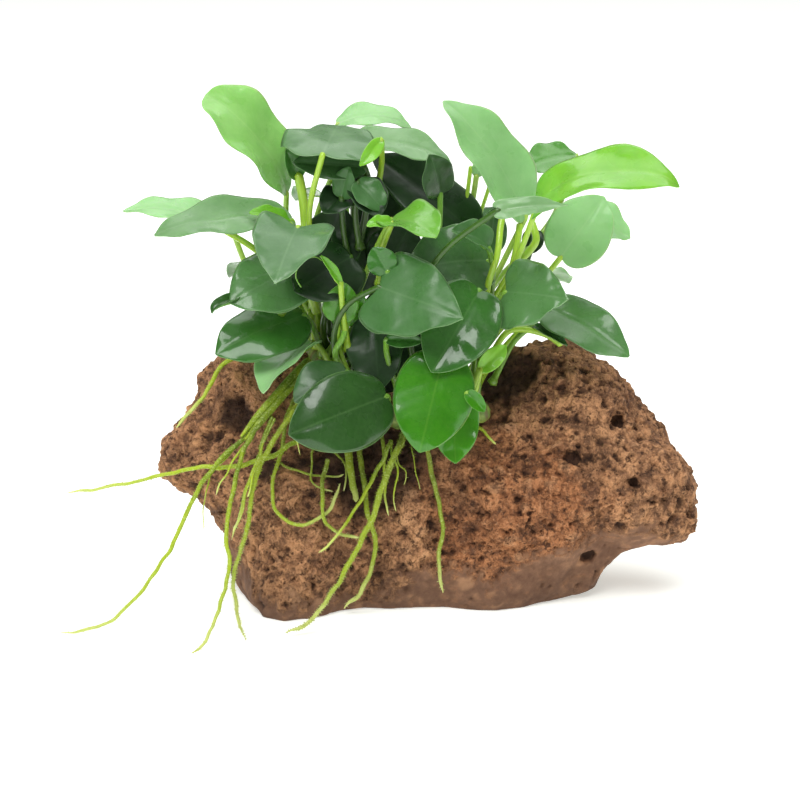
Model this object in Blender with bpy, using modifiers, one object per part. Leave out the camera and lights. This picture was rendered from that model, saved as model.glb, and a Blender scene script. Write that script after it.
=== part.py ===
"""Dwarf anubias grown on a porous lava stone.

The stone stands on a flat face at z = 0.  A creeping stem lies in a groove over
its saddle.  Leaves on stalks rise from the stem, and roots run down the stone
and out over the table.  +X is the long side of the stone, -Y is its front.
"""

import math

import bmesh
import bpy
from mathutils import Quaternion, Vector
from mathutils.bvhtree import BVHTree
from mathutils.kdtree import KDTree

MM = 0.001
GAP = 0.35 * MM
UP = Vector((0.0, 0.0, 1.0))

# Stone: lumps (centre, radii) in mm, grown together into one body.
STONE_LUMPS = (
    ((32, 5, 42), (23, 24, 22.5)),
    ((46, 0, 30), (20.5, 23, 18.5)),
    ((56.5, -2, 20), (15, 20, 10.5)),
    ((16, -1, 16), (30, 25, 30)),
    ((-46, 7, 43), (11, 18, 20)),
    ((-52.5, 7, 51), (9, 14, 12)),
    ((-57, 3, 32), (16, 18, 10)),
    ((-31, 10, 44), (17, 17, 18)),
    ((-2, -10, 34), (28, 13, 15)),
    ((6, 9, 38), (28, 18, 17)),
    ((-33, -6, 15), (19, 25, 26)),
    ((-37, -8, 4), (15, 25, 12)),
    ((-8, 0, 16), (34, 27, 30)),
    ((-2, 15, 25), (46, 18, 25)),
)
STONE_VOXEL = 6.7 * MM
STONE_SWELL = 7.0 * MM
STONE_SWELL_SIZE = 20 * MM
STONE_FACET = 6.0 * MM
STONE_FACET_SIZE = 19 * MM
STONE_TOP = 68 * MM
FLOOR_BLOCK = (0.3, 0.3, 0.06)
# Hollows in the stone: middle and radii in mm, and how finely the ball is faceted.
STONE_HOLLOWS = (
    ((-17, -31, 34), (14, 11, 16), 2),
    ((21, -8, 60), (8, 6, 6), 2),
    ((29, -20.5, 40), (11, 4, 2.8), 2),
    ((48.6, -12.2, 47.2), (3.6, 3.4, 3.8), 1),
    ((52.3, -22.6, 33.6), (4.4, 3, 2.8), 1),
    ((41.2, -16.6, 11.8), (4, 3, 2.8), 1),
    ((39.6, -10.5, 61), (4.8, 3, 2.4), 1),
    ((-51, -8, 49), (6, 5, 6.5), 2),
    ((-30.6, -25.6, 30.2), (5, 3.4, 4.4), 1),
    ((20, 27, 42), (7, 5, 4), 1),
    ((-22, 33, 32), (6, 5, 7), 1),
    ((46, 22, 26), (6, 4, 4), 1),
    ((-46, 27, 34), (5, 4, 6), 1),
)

# Creeping stem: points of its middle line in mm, from the right end to the left.
STEM_POINTS = (
    (15, -15, 51), (4, -16, 49), (-8, -16, 49), (-18, -13, 53),
    (-26, -5, 59), (-30, 6, 64), (-28, 15, 65),
)
STEM_RADIUS = 2.9 * MM
STEM_WAIST = 0.92
STEM_STATION = 3.4 * MM
STEM_SIDE_ANGLES = (-66, -22, 22, 66)

# Leaf form shared by all leaves.
STALK_RADIUS = 0.75 * MM
FOOT_RADIUS = 0.95 * MM
BLADE_HALF_THICKNESS = 0.42 * MM
TIP_RADIUS = 0.3 * MM
THINS_FROM = 0.8
THINS_BY = 0.45
ROUND = math.sqrt(0.75)
# Outline: powers of the width at the base and the tip, and depth of the base lobes.
OVAL = (0.55, 0.75, 0.4)
BLUNT = (0.7, 0.45, 0.2)
BLUNTS = ("leaf_crown_left", "leaf_light_back")
HEART = (0.35, 0.95, 0.6)
HEARTS = ("leaf_centre_large", "leaf_left_heart", "leaf_right_glossy", "leaf_pale_lip")
BLADE_STATIONS = (0.06, 0.22, 0.48, 0.76, 0.93, 1.0)
STALK_STATIONS = (0.0, 0.25, 0.5, 0.75, 1.0)
RING = ((-1.0, 0.0), (-0.5, 1.0), (0.5, 1.0), (1.0, 0.0), (0.5, -1.0), (-0.5, -1.0))

# Leaves: name, blade base, blade tip, width in mm, way the upper face looks,
# rise at the base and droop at the tip in degrees, cup of the margins, age.
LEAVES = (
    ("leaf_front_glossy", (12, -20, 83), (0, -33, 65), 19, (0.1, -0.9, 0.4), 20, 10, 0.2, "old"),
    ("leaf_front_bright", (3, -30, 69), (-3, -38, 46), 20, (0, -1, 0.3), 6, 14, -0.1, "young"),
    ("leaf_front_left", (-11, -29, 58), (-35, -40, 51), 20, (-0.1, -1, 0.3), 8, 12, -0.1, "old"),
    ("leaf_centre_large", (-13, -26, 85), (7.5, -38, 79.5), 22, (-0.1, -0.9, 0.5), 12, 16, -0.15, "old"),
    ("leaf_left_heart", (-33, -21, 99), (-38, -37, 88), 20, (-0.1, -0.8, 0.6), 20, 20, 0.2, "old"),
    ("leaf_right_glossy", (18.5, -20, 82.5), (33.5, -31, 83), 19, (0.2, -0.9, 0.4), 10, 16, -0.1, "mid"),
    ("leaf_left_glossy", (-32, -10, 74.5), (-54, -20, 66.5), 17.5, (-0.3, -0.8, 0.6), 12, 20, -0.1, "old"),
    ("leaf_left_pale", (-30, -8, 67), (-42, -24, 57.5), 14, (-0.7, -0.7, 0.5), 20, 30, 0.25, "pale"),
    ("leaf_small_bright", (-10, -16, 100), (1, -30, 98), 14, (0.25, -0.7, 0.7), 24, 30, 0.3, "young"),
    ("leaf_bright_right", (26, -13, 101.5), (60.5, -24, 109.5), 19, (-0.1, -0.45, 0.9), 66, 66, 0.1, "young"),
    ("leaf_tall_right", (24, -6, 99), (3, -4, 128), 18, (0.55, -0.7, 0.42), 20, 26, 0.2, "mid"),
    ("leaf_crown_left", (-37, 6, 103), (-57, 0, 129), 19, (0.65, -0.62, 0.45), 34, 34, 0.2, "young"),
    ("leaf_wing_left", (-35, -6, 98), (-69, -16, 96), 15, (0.1, -0.45, 0.9), 22, 22, 0.15, "old"),
    ("leaf_top_left", (-27, -14, 116), (-23, 8, 120), 25, (0, -0.45, 0.9), 10, 20, -0.1, "mid"),
    ("leaf_pale_lip", (16, -20, 102.3), (33, -18, 103.3), 10, (0, -0.8, 0.6), 16, 10, 0.2, "pale"),
    ("leaf_right_low", (29, -4, 75), (50, -16, 65), 14, (0.2, -0.75, 0.65), 24, 18, 0.1, "old"),
    ("leaf_left_hook", (-31, -9, 87.5), (-50, -22, 80), 19, (-0.3, -0.9, 0.4), 10, 20, -0.1, "old"),
    ("leaf_left_dark", (-20, -8, 89), (-34, -18, 82), 19, (-0.2, -0.9, 0.4), 14, 24, -0.1, "old"),
    ("leaf_centre_glossy", (14.5, -10, 88.5), (-6, -18, 88), 20, (0, -0.8, 0.6), 16, 14, 0.1, "old"),
    ("leaf_centre_dark", (-14, -15, 75), (-13, -23, 58), 15, (-0.3, -1, 0.2), 6, 12, 0.1, "old"),
    ("leaf_front_left_behind", (-21, -20, 62), (-34, -27, 56), 13, (-0.3, -0.8, 0.5), 12, 16, 0.1, "mid"),
    ("leaf_front_under", (5, -24, 60), (6, -30, 41), 13, (0.2, -1, 0.2), 6, 12, 0.15, "young"),
    ("leaf_inner_bright", (-19, -13, 73), (-23, -18, 84), 12, (-0.3, -1, 0.1), 4, 10, 0.1, "young"),
    ("leaf_inner_upper", (-18, -8, 109), (-13, -17, 101), 10, (0.2, -0.9, 0.4), 10, 20, 0.1, "old"),
    ("leaf_inner_left", (-20, -3, 105), (-27, -12, 101), 10, (-0.2, -0.8, 0.5), 16, 20, 0.1, "old"),
    ("leaf_top_mid", (-20, 0, 118), (5, -4, 113), 12, (0.2, -0.5, 0.85), 22, 30, 0.15, "mid"),
    ("leaf_top_light", (-24, 12, 120.5), (-5, 16, 119), 11, (0, -0.4, 0.9), 36, 50, 0.1, "pale"),
    ("leaf_top_under", (-16, 2, 109), (-34, -6, 114), 14, (0.1, -0.6, 0.8), 14, 16, 0.1, "old"),
    ("leaf_crown_dark", (12, 6, 92), (-15, 12, 112), 17, (0.2, -0.75, 0.65), 6, 14, 0.1, "old"),
    ("leaf_top_small", (2.5, 4, 103), (-0.5, -2, 114), 10, (0.3, -0.9, 0.3), 10, 14, 0.15, "mid"),
    ("leaf_right_round", (33.5, 4, 86.5), (45, 10, 101.5), 17, (0.1, -0.9, 0.3), 4, 14, 0.1, "mid"),
    ("leaf_right_pale", (38, 18, 97), (52.5, 16, 89.5), 13, (0.2, -0.6, 0.75), 20, 20, 0.1, "pale"),
    ("leaf_light_back", (38.5, 18, 111), (26, 14, 109), 12, (0, -0.6, 0.8), 18, 20, 0.1, "young"),
    ("leaf_wing_far", (-52, 18, 92), (-80, 14, 97), 12, (0, -0.35, 0.95), 20, 26, 0.1, "pale"),
    ("leaf_centre_fill", (-1, -10, 71), (-4, -16, 55), 14, (-0.1, -1, 0.3), 8, 14, 0.1, "old"),
    ("leaf_core_dark", (-12, -3, 84), (-25, -10, 96), 18, (0.1, -0.9, 0.4), 8, 18, 0.1, "old"),
    ("leaf_core_upper", (-4, 4, 94), (-22, -2, 104), 16, (0.1, -0.8, 0.6), 10, 18, 0.1, "old"),
    ("leaf_back_upper_left", (-22, 20, 98), (-36, 38, 96), 15, (-0.2, 0.6, 0.8), 20, 24, 0.1, "mid"),
    ("leaf_back_upper_right", (11, 20, 94), (19, 42, 92), 16, (0.1, 0.6, 0.8), 20, 24, 0.1, "old"),
    ("leaf_back_middle", (-13, 20, 87), (-19, 44, 80), 17, (0, 0.6, 0.8), 22, 26, 0.1, "old"),
    ("leaf_back_left", (-34, 18, 82), (-54, 32, 76), 16, (-0.4, 0.5, 0.8), 20, 24, 0.1, "old"),
    ("leaf_back_right", (20, 16, 78), (38, 34, 74), 16, (0.4, 0.6, 0.8), 22, 24, 0.1, "old"),
    ("leaf_back_low", (-6, 18, 72), (-2, 40, 60), 15, (0, 0.7, 0.7), 24, 22, 0.1, "young"),
    ("leaf_back_low_left", (-24, 20, 74), (-34, 38, 62), 14, (-0.2, 0.7, 0.7), 22, 22, 0.1, "mid"),
)
# A leaf that meets another moves along the line of sight, near or far.
SIGHT = Vector((0.0, 1.0, -0.25)).normalized()
SHIFT_STEP = 1.0 * MM
SHIFT_STEPS = 10
BEND_REACHES = (2, 4, 6, 9, 12)
BEND_TURNS = 8
SAMPLE_STEP = 1.2 * MM
BLADE_ROOM = 0.86 * MM
STALK_ROOM = 0.96 * MM
SITES_TRIED = 12
OUT_WEIGHT = 8 * MM
LOW_HANDLE = 0.32
KNEE = 0.6
BEHIND = 0.7
HIGH_HANDLE = 0.36
FOOT_GAP = 0.6 * MM
FOOT_CLEAR = 1.5 * MM
BASE_CLEAR = 2.2 * MM

# Free roots: name, radius at the start and end in mm, points in mm.
FREE_ROOTS = (
    ("root_bundle", 2.1, 1.6, ((-31, -10, 62), (-36, -16, 58), (-42, -22, 52), (-47, -26, 46.5))),
    ("root_long_left", 0.9, 0.5, ((-48.3, -26.2, 45.2), (-54, -29, 40), (-59, -30, 33), (-64, -31, 22),
                                  (-71, -34, 11), (-79, -38, 3), (-86, -41, 1), (-92, -43, 1))),
    ("root_drop_left", 0.9, 0.5, ((-46.4, -27.6, 45), (-49, -32, 36), (-51, -36, 26), (-50, -40, 19),
                                  (-51, -44, 13), (-53, -49, 7), (-56, -55, 2), (-58, -59, 1))),
    ("root_sideways", 1.0, 0.5, ((-21, -14, 49.5), (-26, -16, 47.5), (-33, -19, 44), (-41, -24, 41),
                                 (-49, -26, 39), (-57, -26, 39), (-69, -24, 36), (-81, -23, 33),
                                 (-92, -22, 31))),
    ("root_fuzzy", 1.0, 0.5, ((-28, -11, 57), (-32, -18, 55), (-36, -25, 51), (-41, -30, 44),
                              (-44, -33, 37), (-45, -35, 30), (-47, -38, 22), (-49, -41, 15),
                              (-48, -45, 8), (-46, -49, 1))),
    ("root_short", 0.7, 0.5, ((-43, -29, 41), (-46, -29, 35), (-48, -27, 28), (-50, -25, 21))),
    ("root_front", 1.2, 0.6, ((-6, -20.8, 48), (-8, -27, 45), (-11, -31, 39), (-15, -34, 27),
                              (-20, -37, 18), (-25, -40, 10), (-31, -42, 3), (-36, -43, 1))),
    ("root_far_left", 1.0, 0.6, ((-34, 3, 66.5), (-42, -1, 66), (-49, -5, 63), (-54, -8, 60),
                                 (-57, -11, 55), (-60, -13, 51), (-65, -14, 46))),
)
# Roots lying on the stone: name, radii, how far off the stone in mm, and
# x and z of the points in mm.
LYING_ROOTS = (
    ("root_loop", 0.7, 0.6, 0.6, ((-34, 54), (-37, 48), (-38, 41), (-40, 34), (-39, 28),
                                  (-35, 25), (-30, 25), (-25, 29), (-23, 34))),
    ("root_hook", 0.8, 0.5, 3.4, ((-26, 40), (-27, 36), (-27, 32), (-27, 27), (-24, 23), (-18, 21))),
    ("root_cross", 0.8, 0.4, 2.6, ((-10, 45), (-11, 43), (-14, 37), (-17, 31), (-23, 23), (-28, 18))),
    ("root_inner", 1.0, 0.7, 0.2, ((-16, 47), (-18, 42), (-17, 34), (-16, 26), (-14, 19),
                                   (-15, 12), (-18, 6), (-22, 2))),
    ("root_right", 0.9, 0.6, 0.0, ((-1, 45), (0, 38), (2, 29), (3, 20), (2, 15), (3, 6))),
    ("root_thick_inner", 1.6, 1.0, 0.2, ((-21, 46), (-21, 41), (-20, 36), (-19, 29))),
)
ROOT_STEP = 5.0 * MM
PROBE_SPREAD = 1.3
FLOOR_GAP = 0.1 * MM
PROBE_START = 200 * MM

COLOURS = {
    "stone": (0.25, 0.09, 0.05, 1.0),
    "stem": (0.22, 0.28, 0.06, 1.0),
    "root": (0.50, 0.62, 0.10, 1.0),
    "old": (0.02, 0.10, 0.03, 1.0),
    "mid": (0.05, 0.22, 0.06, 1.0),
    "pale": (0.14, 0.34, 0.16, 1.0),
    "young": (0.12, 0.45, 0.03, 1.0),
}


def clear_scene():
    """Remove whatever the file holds."""
    for item in list(bpy.data.objects):
        bpy.data.objects.remove(item, do_unlink=True)


def make_collection(name):
    """A new collection in the scene."""
    collection = bpy.data.collections.new(name)
    bpy.context.scene.collection.children.link(collection)
    return collection


def make_material(name, colour, roughness):
    """A plain Principled material."""
    material = bpy.data.materials.new(name)
    material.use_nodes = True
    shader = material.node_tree.nodes["Principled BSDF"]
    shader.inputs["Base Color"].default_value = colour
    shader.inputs["Roughness"].default_value = roughness
    shader.inputs["Metallic"].default_value = 0.0
    return material


def mesh_object(name, mesh, collection, tone, roughness=0.4):
    """An object of that mesh with its own material."""
    piece = bpy.data.objects.new(name, mesh)
    collection.objects.link(piece)
    mesh.materials.append(make_material(name, COLOURS[tone], roughness))
    return piece


def as_guide(piece):
    """Show a cutter as a wire that is not part of the object."""
    piece.hide_render = True
    piece.display_type = "WIRE"


def bezier(start, start_handle, end_handle, end, share):
    """The point at that share of a cubic Bezier, and its direction there."""
    rest = 1.0 - share
    point = (start * rest ** 3 + start_handle * 3 * rest ** 2 * share
             + end_handle * 3 * rest * share ** 2 + end * share ** 3)
    slope = ((start_handle - start) * rest ** 2 + (end_handle - start_handle) * 2 * rest * share
             + (end - end_handle) * share ** 2)
    return point, slope.normalized()


def smooth_path(points, step):
    """Points about a step apart on a smooth curve through the given points."""
    path = []
    last = len(points) - 1
    for index in range(last):
        before = points[max(index - 1, 0)]
        here = points[index]
        there = points[index + 1]
        after = points[min(index + 2, last)]
        start_handle = here + (there - before) / 6.0
        end_handle = there - (after - here) / 6.0
        pieces = max(1, round((there - here).length / step))
        for piece in range(pieces):
            path.append(bezier(here, start_handle, end_handle, there, piece / pieces)[0])
    path.append(points[last].copy())
    return path


def straight_samples(spots):
    """Points along the straight runs between the spots, without the last spot."""
    samples = []
    for here, there in zip(spots, spots[1:]):
        pieces = max(1, math.ceil((there - here).length / SAMPLE_STEP))
        samples.extend(here.lerp(there, piece / pieces) for piece in range(pieces))
    return samples


def tube(name, path, radii, collection, sides_level):
    """A closed curve tube along the path, with a radius at each point."""
    curve = bpy.data.curves.new(name, "CURVE")
    curve.dimensions = "3D"
    curve.bevel_depth = 1.0
    curve.bevel_resolution = sides_level
    curve.use_fill_caps = True
    spline = curve.splines.new("POLY")
    spline.points.add(len(path) - 1)
    for point, place, radius in zip(spline.points, path, radii):
        point.co = (place.x, place.y, place.z, 1.0)
        point.radius = radius
    piece = bpy.data.objects.new(name, curve)
    collection.objects.link(piece)
    return piece


def solid_from_curve(piece, collection):
    """The curve's tube as a mesh object with welded caps."""
    bpy.context.view_layer.update()
    graph = bpy.context.evaluated_depsgraph_get()
    mesh = bpy.data.meshes.new_from_object(piece.evaluated_get(graph))
    shell = bmesh.new()
    shell.from_mesh(mesh)
    bmesh.ops.remove_doubles(shell, verts=shell.verts, dist=0.00001)
    bmesh.ops.recalc_face_normals(shell, faces=shell.faces)
    shell.to_mesh(mesh)
    shell.free()
    solid = bpy.data.objects.new(piece.name + "_solid", mesh)
    solid.matrix_world = piece.matrix_world
    collection.objects.link(solid)
    bpy.data.objects.remove(piece, do_unlink=True)
    return solid


def cut(piece, cutter):
    """Take the cutter's space out of the piece."""
    modifier = piece.modifiers.new("cut_" + cutter.name, "BOOLEAN")
    modifier.operation = "DIFFERENCE"
    modifier.solver = "EXACT"
    modifier.object = cutter
    as_guide(cutter)


def ball(name, centre, radii, detail):
    """A mesh ball stretched to three radii, given in mm."""
    shell = bmesh.new()
    bmesh.ops.create_icosphere(shell, subdivisions=detail, radius=1.0)
    bmesh.ops.scale(shell, vec=Vector(radii) * MM, verts=shell.verts)
    bmesh.ops.translate(shell, vec=Vector(centre) * MM, verts=shell.verts)
    mesh = bpy.data.meshes.new(name)
    shell.to_mesh(mesh)
    shell.free()
    return mesh


def roughen(stone, name, texture, strength):
    """Push the surface in and out by that texture."""
    relief = stone.modifiers.new(name, "DISPLACE")
    relief.texture = texture
    relief.texture_coords = "LOCAL"
    relief.strength = strength
    relief.mid_level = 0.5


def make_stone(collection, cutters, stem_path):
    """Lumps grown together, roughened, cut flat below and grooved for the stem."""
    lumps = bmesh.new()
    for number, (centre, radii) in enumerate(STONE_LUMPS):
        lump = ball("lump_%d" % number, centre, radii, 4)
        lumps.from_mesh(lump)
        bpy.data.meshes.remove(lump)
    mesh = bpy.data.meshes.new("lava_stone")
    lumps.to_mesh(mesh)
    lumps.free()
    stone = mesh_object("lava_stone", mesh, collection, "stone", 0.95)
    remesh = stone.modifiers.new("grown_together", "REMESH")
    remesh.mode = "VOXEL"
    remesh.voxel_size = STONE_VOXEL
    swell = bpy.data.textures.new("stone_swell", "CLOUDS")
    swell.noise_scale = STONE_SWELL_SIZE
    swell.noise_depth = 2
    roughen(stone, "swell", swell, STONE_SWELL)
    facets = bpy.data.textures.new("stone_facets", "VORONOI")
    facets.noise_scale = STONE_FACET_SIZE
    facets.distance_metric = "DISTANCE"
    roughen(stone, "facets", facets, -STONE_FACET)

    floor_mesh = bpy.data.meshes.new("below_floor")
    block = bmesh.new()
    bmesh.ops.create_cube(block, size=1.0)
    bmesh.ops.scale(block, vec=FLOOR_BLOCK, verts=block.verts)
    bmesh.ops.translate(block, vec=(0.0, 0.0, -FLOOR_BLOCK[2] / 2.0), verts=block.verts)
    block.to_mesh(floor_mesh)
    block.free()
    floor = bpy.data.objects.new("below_floor", floor_mesh)
    cutters.objects.link(floor)
    cut(stone, floor)

    for number, (centre, radii, detail) in enumerate(STONE_HOLLOWS):
        name = "hollow_%d" % number
        hollow = bpy.data.objects.new(name, ball(name, centre, radii, detail))
        cutters.objects.link(hollow)
        cut(stone, hollow)

    groove_radii = [STEM_RADIUS + GAP] * len(stem_path)
    groove = tube("groove", stem_path, groove_radii, cutters, 3)
    cut(stone, solid_from_curve(groove, cutters))
    return stone


def evaluated_tree(piece):
    """A search tree of the piece's final surface."""
    bpy.context.view_layer.update()
    return BVHTree.FromObject(piece, bpy.context.evaluated_depsgraph_get())


def stem_frame(path, index):
    """Direction of the stem there, the way up across it, and its side."""
    before = path[max(index - 1, 0)]
    after = path[min(index + 1, len(path) - 1)]
    along = (after - before).normalized()
    above = (UP - along * UP.dot(along)).normalized()
    return along, above, along.cross(above)


def stem_sites(path):
    """Places on the stem's skin where a stalk may start: point and way out."""
    sites = []
    for index in range(1, len(path) - 1):
        along, above, side = stem_frame(path, index)
        for angle in STEM_SIDE_ANGLES:
            turn = math.radians(angle)
            out = above * math.cos(turn) + side * math.sin(turn)
            sites.append((path[index] + out * (STEM_RADIUS + FOOT_GAP), out))
    return sites


class Leaf:
    """One leaf: its blade from the table, and its stalk once it has a place."""

    def __init__(self, row):
        name, base, tip, width, face, rise, droop, cup, age = row
        self.name = name
        self.base = Vector(base) * MM
        self.tip = Vector(tip) * MM
        self.half_width = width * MM / 2.0
        self.face = Vector(face).normalized()
        self.rise = math.radians(rise)
        self.droop = math.radians(droop)
        self.cup = cup
        self.age = age
        self.outline = HEART if name in HEARTS else BLUNT if name in BLUNTS else OVAL
        self.foot = None
        self.out = None
        self.bends = None

    def midrib_ends(self):
        """Directions of the midrib where it starts and where it ends."""
        chord = (self.tip - self.base).normalized()
        above = (self.face - chord * self.face.dot(chord)).normalized()
        start = chord * math.cos(self.rise) + above * math.sin(self.rise)
        end = chord * math.cos(self.droop) - above * math.sin(self.droop)
        return start, end

    def midrib(self, share):
        """Point and direction on the midrib."""
        start, end = self.midrib_ends()
        reach = (self.tip - self.base).length / 3.0
        return bezier(self.base, self.base + start * reach, self.tip - end * reach, self.tip, share)

    def half_width_at(self, share):
        """Half the blade's width there: round at the base, pointed at the tip."""
        low, high, _ = self.outline
        widest = low / (low + high)
        top = widest ** low * (1.0 - widest) ** high
        width = share ** low * (1.0 - share) ** high / top
        return self.half_width * width

    def blade_point(self, share, across, lift=0.0):
        """A point of the blade; across runs from -1 to 1 between the margins."""
        centre, along = self.midrib(share)
        side = along.cross(self.face).normalized()
        above = side.cross(along)
        least = STALK_RADIUS + (TIP_RADIUS - STALK_RADIUS) * share
        half = max(self.half_width_at(share), least)
        back = self.outline[2] * (1.0 - share) ** 4 * across * across * self.half_width_at(share)
        thick = BLADE_HALF_THICKNESS
        if share > THINS_FROM:
            thick *= 1.0 - THINS_BY * (share - THINS_FROM) / (1.0 - THINS_FROM)
        rise = self.cup * half * across * across
        return centre + side * (half * across) - along * back + above * (rise + thick * lift)

    def stalk(self, share):
        """Point and direction on the stalk, from its foot to the blade."""
        chord = self.base - self.foot
        end = (self.midrib_ends()[0] * KNEE + self.face * BEHIND + chord.normalized()).normalized()
        low, high = self.bends
        first = self.foot + self.out * (chord.length * LOW_HANDLE) + low
        second = self.base - end * (chord.length * HIGH_HANDLE) + high
        return bezier(self.foot, first, second, self.base, share)

    def stalk_radius(self, share):
        """The stalk thins from its foot to the blade."""
        return FOOT_RADIUS + (STALK_RADIUS - FOOT_RADIUS) * min(1.0, share * 2.0)

    def blade_samples(self):
        """Points all over the blade, for finding what is too near."""
        rows = max(4, round((self.tip - self.base).length / SAMPLE_STEP))
        columns = max(2, round(self.half_width / SAMPLE_STEP))
        samples = []
        for row in range(rows + 1):
            for column in range(-columns, columns + 1):
                samples.append(self.blade_point(row / rows, column / columns))
        return samples

    def stalk_samples(self):
        """Points along the stalk, from just off the stem to just under the blade."""
        return straight_samples([self.stalk(share)[0] for share in STALK_STATIONS])

    def rings(self):
        """Outlines of the leaf across its length, from the foot to the tip."""
        along = self.midrib(0.0)[1]
        side = along.cross(self.face).normalized()
        rings = []
        for share in reversed(STALK_STATIONS):
            centre, direction = self.stalk(share)
            if share == 1.0:
                direction = (direction + along).normalized()
            side = along.rotation_difference(direction) @ side
            side = (side - direction * side.dot(direction)).normalized()
            along = direction
            above = side.cross(along)
            radius = self.stalk_radius(share)
            ring = [centre + (side * x + above * (y * ROUND)) * radius for x, y in RING]
            rings.insert(0, ring)
        for share in BLADE_STATIONS:
            rings.append([self.blade_point(share, x, y) for x, y in RING])
        return rings


def loft(name, rings):
    """A closed mesh through rings of equal count, with flat ends."""
    shell = bmesh.new()
    corners = [[shell.verts.new(point) for point in ring] for ring in rings]
    count = len(rings[0])
    for first, second in zip(corners, corners[1:]):
        for index in range(count):
            following = (index + 1) % count
            shell.faces.new((first[index], first[following], second[following], second[index]))
    shell.faces.new(corners[0][::-1])
    shell.faces.new(corners[-1])
    bmesh.ops.recalc_face_normals(shell, faces=shell.faces)
    mesh = bpy.data.meshes.new(name)
    shell.to_mesh(mesh)
    shell.free()
    mesh.shade_smooth()
    return mesh


class Room:
    """The space that finished pieces take up, as balls round sample points."""

    def __init__(self):
        self.points = []
        self.tree = None

    def add(self, samples, room):
        """Take up a ball of that radius round each sample."""
        self.points.extend((sample, room) for sample in samples)
        self.tree = KDTree(len(self.points))
        for index, (point, _) in enumerate(self.points):
            self.tree.insert(point, index)
        self.tree.balance()

    def overlap(self, samples, room, enough):
        """How deep the samples' balls go into what is there, summed up to enough."""
        reach = room + 2.0 * STEM_RADIUS
        total = 0.0
        for sample in samples:
            deepest = 0.0
            for _, index, distance in self.tree.find_range(sample, reach):
                deepest = max(deepest, room + self.points[index][1] - distance)
            total += deepest
            if total > enough:
                break
        return total


def depth_in_stone(samples, room, stone_tree):
    """How deep the samples' balls go into the stone, summed."""
    total = 0.0
    for sample in samples:
        if sample.z > STONE_TOP:
            continue
        near, normal, _, distance = stone_tree.find_nearest(sample)
        if (sample - near).dot(normal) < 0.0:
            distance = -distance
        total += max(0.0, room - distance)
    return total


def best_of(choices, cost):
    """The first choice without cost, or else the cheapest one."""
    best = None
    least = math.inf
    for choice in choices:
        price = cost(choice, least)
        if price < least:
            least = price
            best = choice
        if least <= 0.0:
            break
    return best


def shift_choices():
    """Moves along the line of sight, the smallest first."""
    yield Vector((0.0, 0.0, 0.0))
    for step in range(1, SHIFT_STEPS + 1):
        yield SIGHT * (-step * SHIFT_STEP)
        yield SIGHT * (step * SHIFT_STEP)


def place_blade(leaf, room, stone_tree):
    """Move the blade near or far until it is clear of what stands there."""
    base = leaf.base.copy()
    tip = leaf.tip.copy()

    def cost(shift, enough):
        leaf.base = base + shift
        leaf.tip = tip + shift
        samples = leaf.blade_samples()
        stone = depth_in_stone(samples, BLADE_ROOM, stone_tree)
        if stone > enough:
            return stone
        return stone + room.overlap(samples, BLADE_ROOM, enough - stone)

    shift = best_of(shift_choices(), cost)
    leaf.base = base + shift
    leaf.tip = tip + shift


def bend_choices(chord):
    """Bends of a stalk, low down and high up, the smallest first."""
    across = chord.orthogonal().normalized()
    none = Vector((0.0, 0.0, 0.0))
    yield none, none
    for reach in BEND_REACHES:
        for turn in range(BEND_TURNS):
            spin = Quaternion(chord, math.tau * turn / BEND_TURNS)
            bend = (spin @ across) * (reach * MM)
            yield bend, bend
            yield none, bend
            yield bend, none


def place_stalk(leaf, sites, room, stone_tree):
    """Take the free site and the bend that bring the stalk up clear."""
    nearest = sorted(sites, key=lambda site: (site[0] + site[1] * OUT_WEIGHT - leaf.base).length)

    def choices():
        for site in nearest[:SITES_TRIED]:
            chord = (leaf.base - site[0]).normalized()
            for bends in bend_choices(chord):
                yield site, bends

    def cost(choice, enough):
        (leaf.foot, leaf.out), leaf.bends = choice
        samples = leaf.stalk_samples()
        off_stem = [
            sample for sample in samples
            if (sample - leaf.foot).length > FOOT_CLEAR and (sample - leaf.base).length > BASE_CLEAR
        ]
        stone = depth_in_stone(off_stem, STALK_ROOM, stone_tree)
        if stone > enough:
            return stone
        return stone + room.overlap(off_stem, STALK_ROOM, enough - stone)

    site, leaf.bends = best_of(choices(), cost)
    leaf.foot, leaf.out = site
    sites.remove(site)


def stone_front(place, radius, stone_tree):
    """The nearest y of the stone in front of a small patch at that x and z."""
    fronts = []
    for across in (-1, 0, 1):
        for above in (-1, 0, 1):
            reach = PROBE_SPREAD * radius
            eye = Vector((place.x + across * reach, -PROBE_START, place.z + above * reach))
            hit = stone_tree.ray_cast(eye, Vector((0.0, 1.0, 0.0)))[0]
            if hit is not None:
                fronts.append(hit.y)
    return min(fronts)


def free_path(points):
    """A root's smooth middle line through its own points."""
    return smooth_path([Vector(point) * MM for point in points], ROOT_STEP)


def lying_path(points, radius, lift, stone_tree):
    """A root's middle line laid against the front of the stone."""
    path = smooth_path([Vector((x, 0.0, z)) * MM for x, z in points], ROOT_STEP)
    fronts = [stone_front(place, radius, stone_tree) for place in path]
    for index, place in enumerate(path):
        nearby = fronts[max(0, index - 1):index + 2]
        front = (min(nearby) + sum(nearby) / len(nearby)) / 2.0
        place.y = front - radius - GAP - lift
    return path


def make_root(name, path, start_radius, end_radius, collection, room):
    """One root as a thinning tube that stays above the table."""
    last = len(path) - 1
    radii = [start_radius + (end_radius - start_radius) * index / last for index in range(last + 1)]
    for place, radius in zip(path, radii):
        place.z = max(place.z, radius + FLOOR_GAP)
    root = tube(name, path, radii, collection, 1)
    root.data.materials.append(make_material(name, COLOURS["root"], 0.35))
    room.add(straight_samples(path), start_radius)


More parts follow.
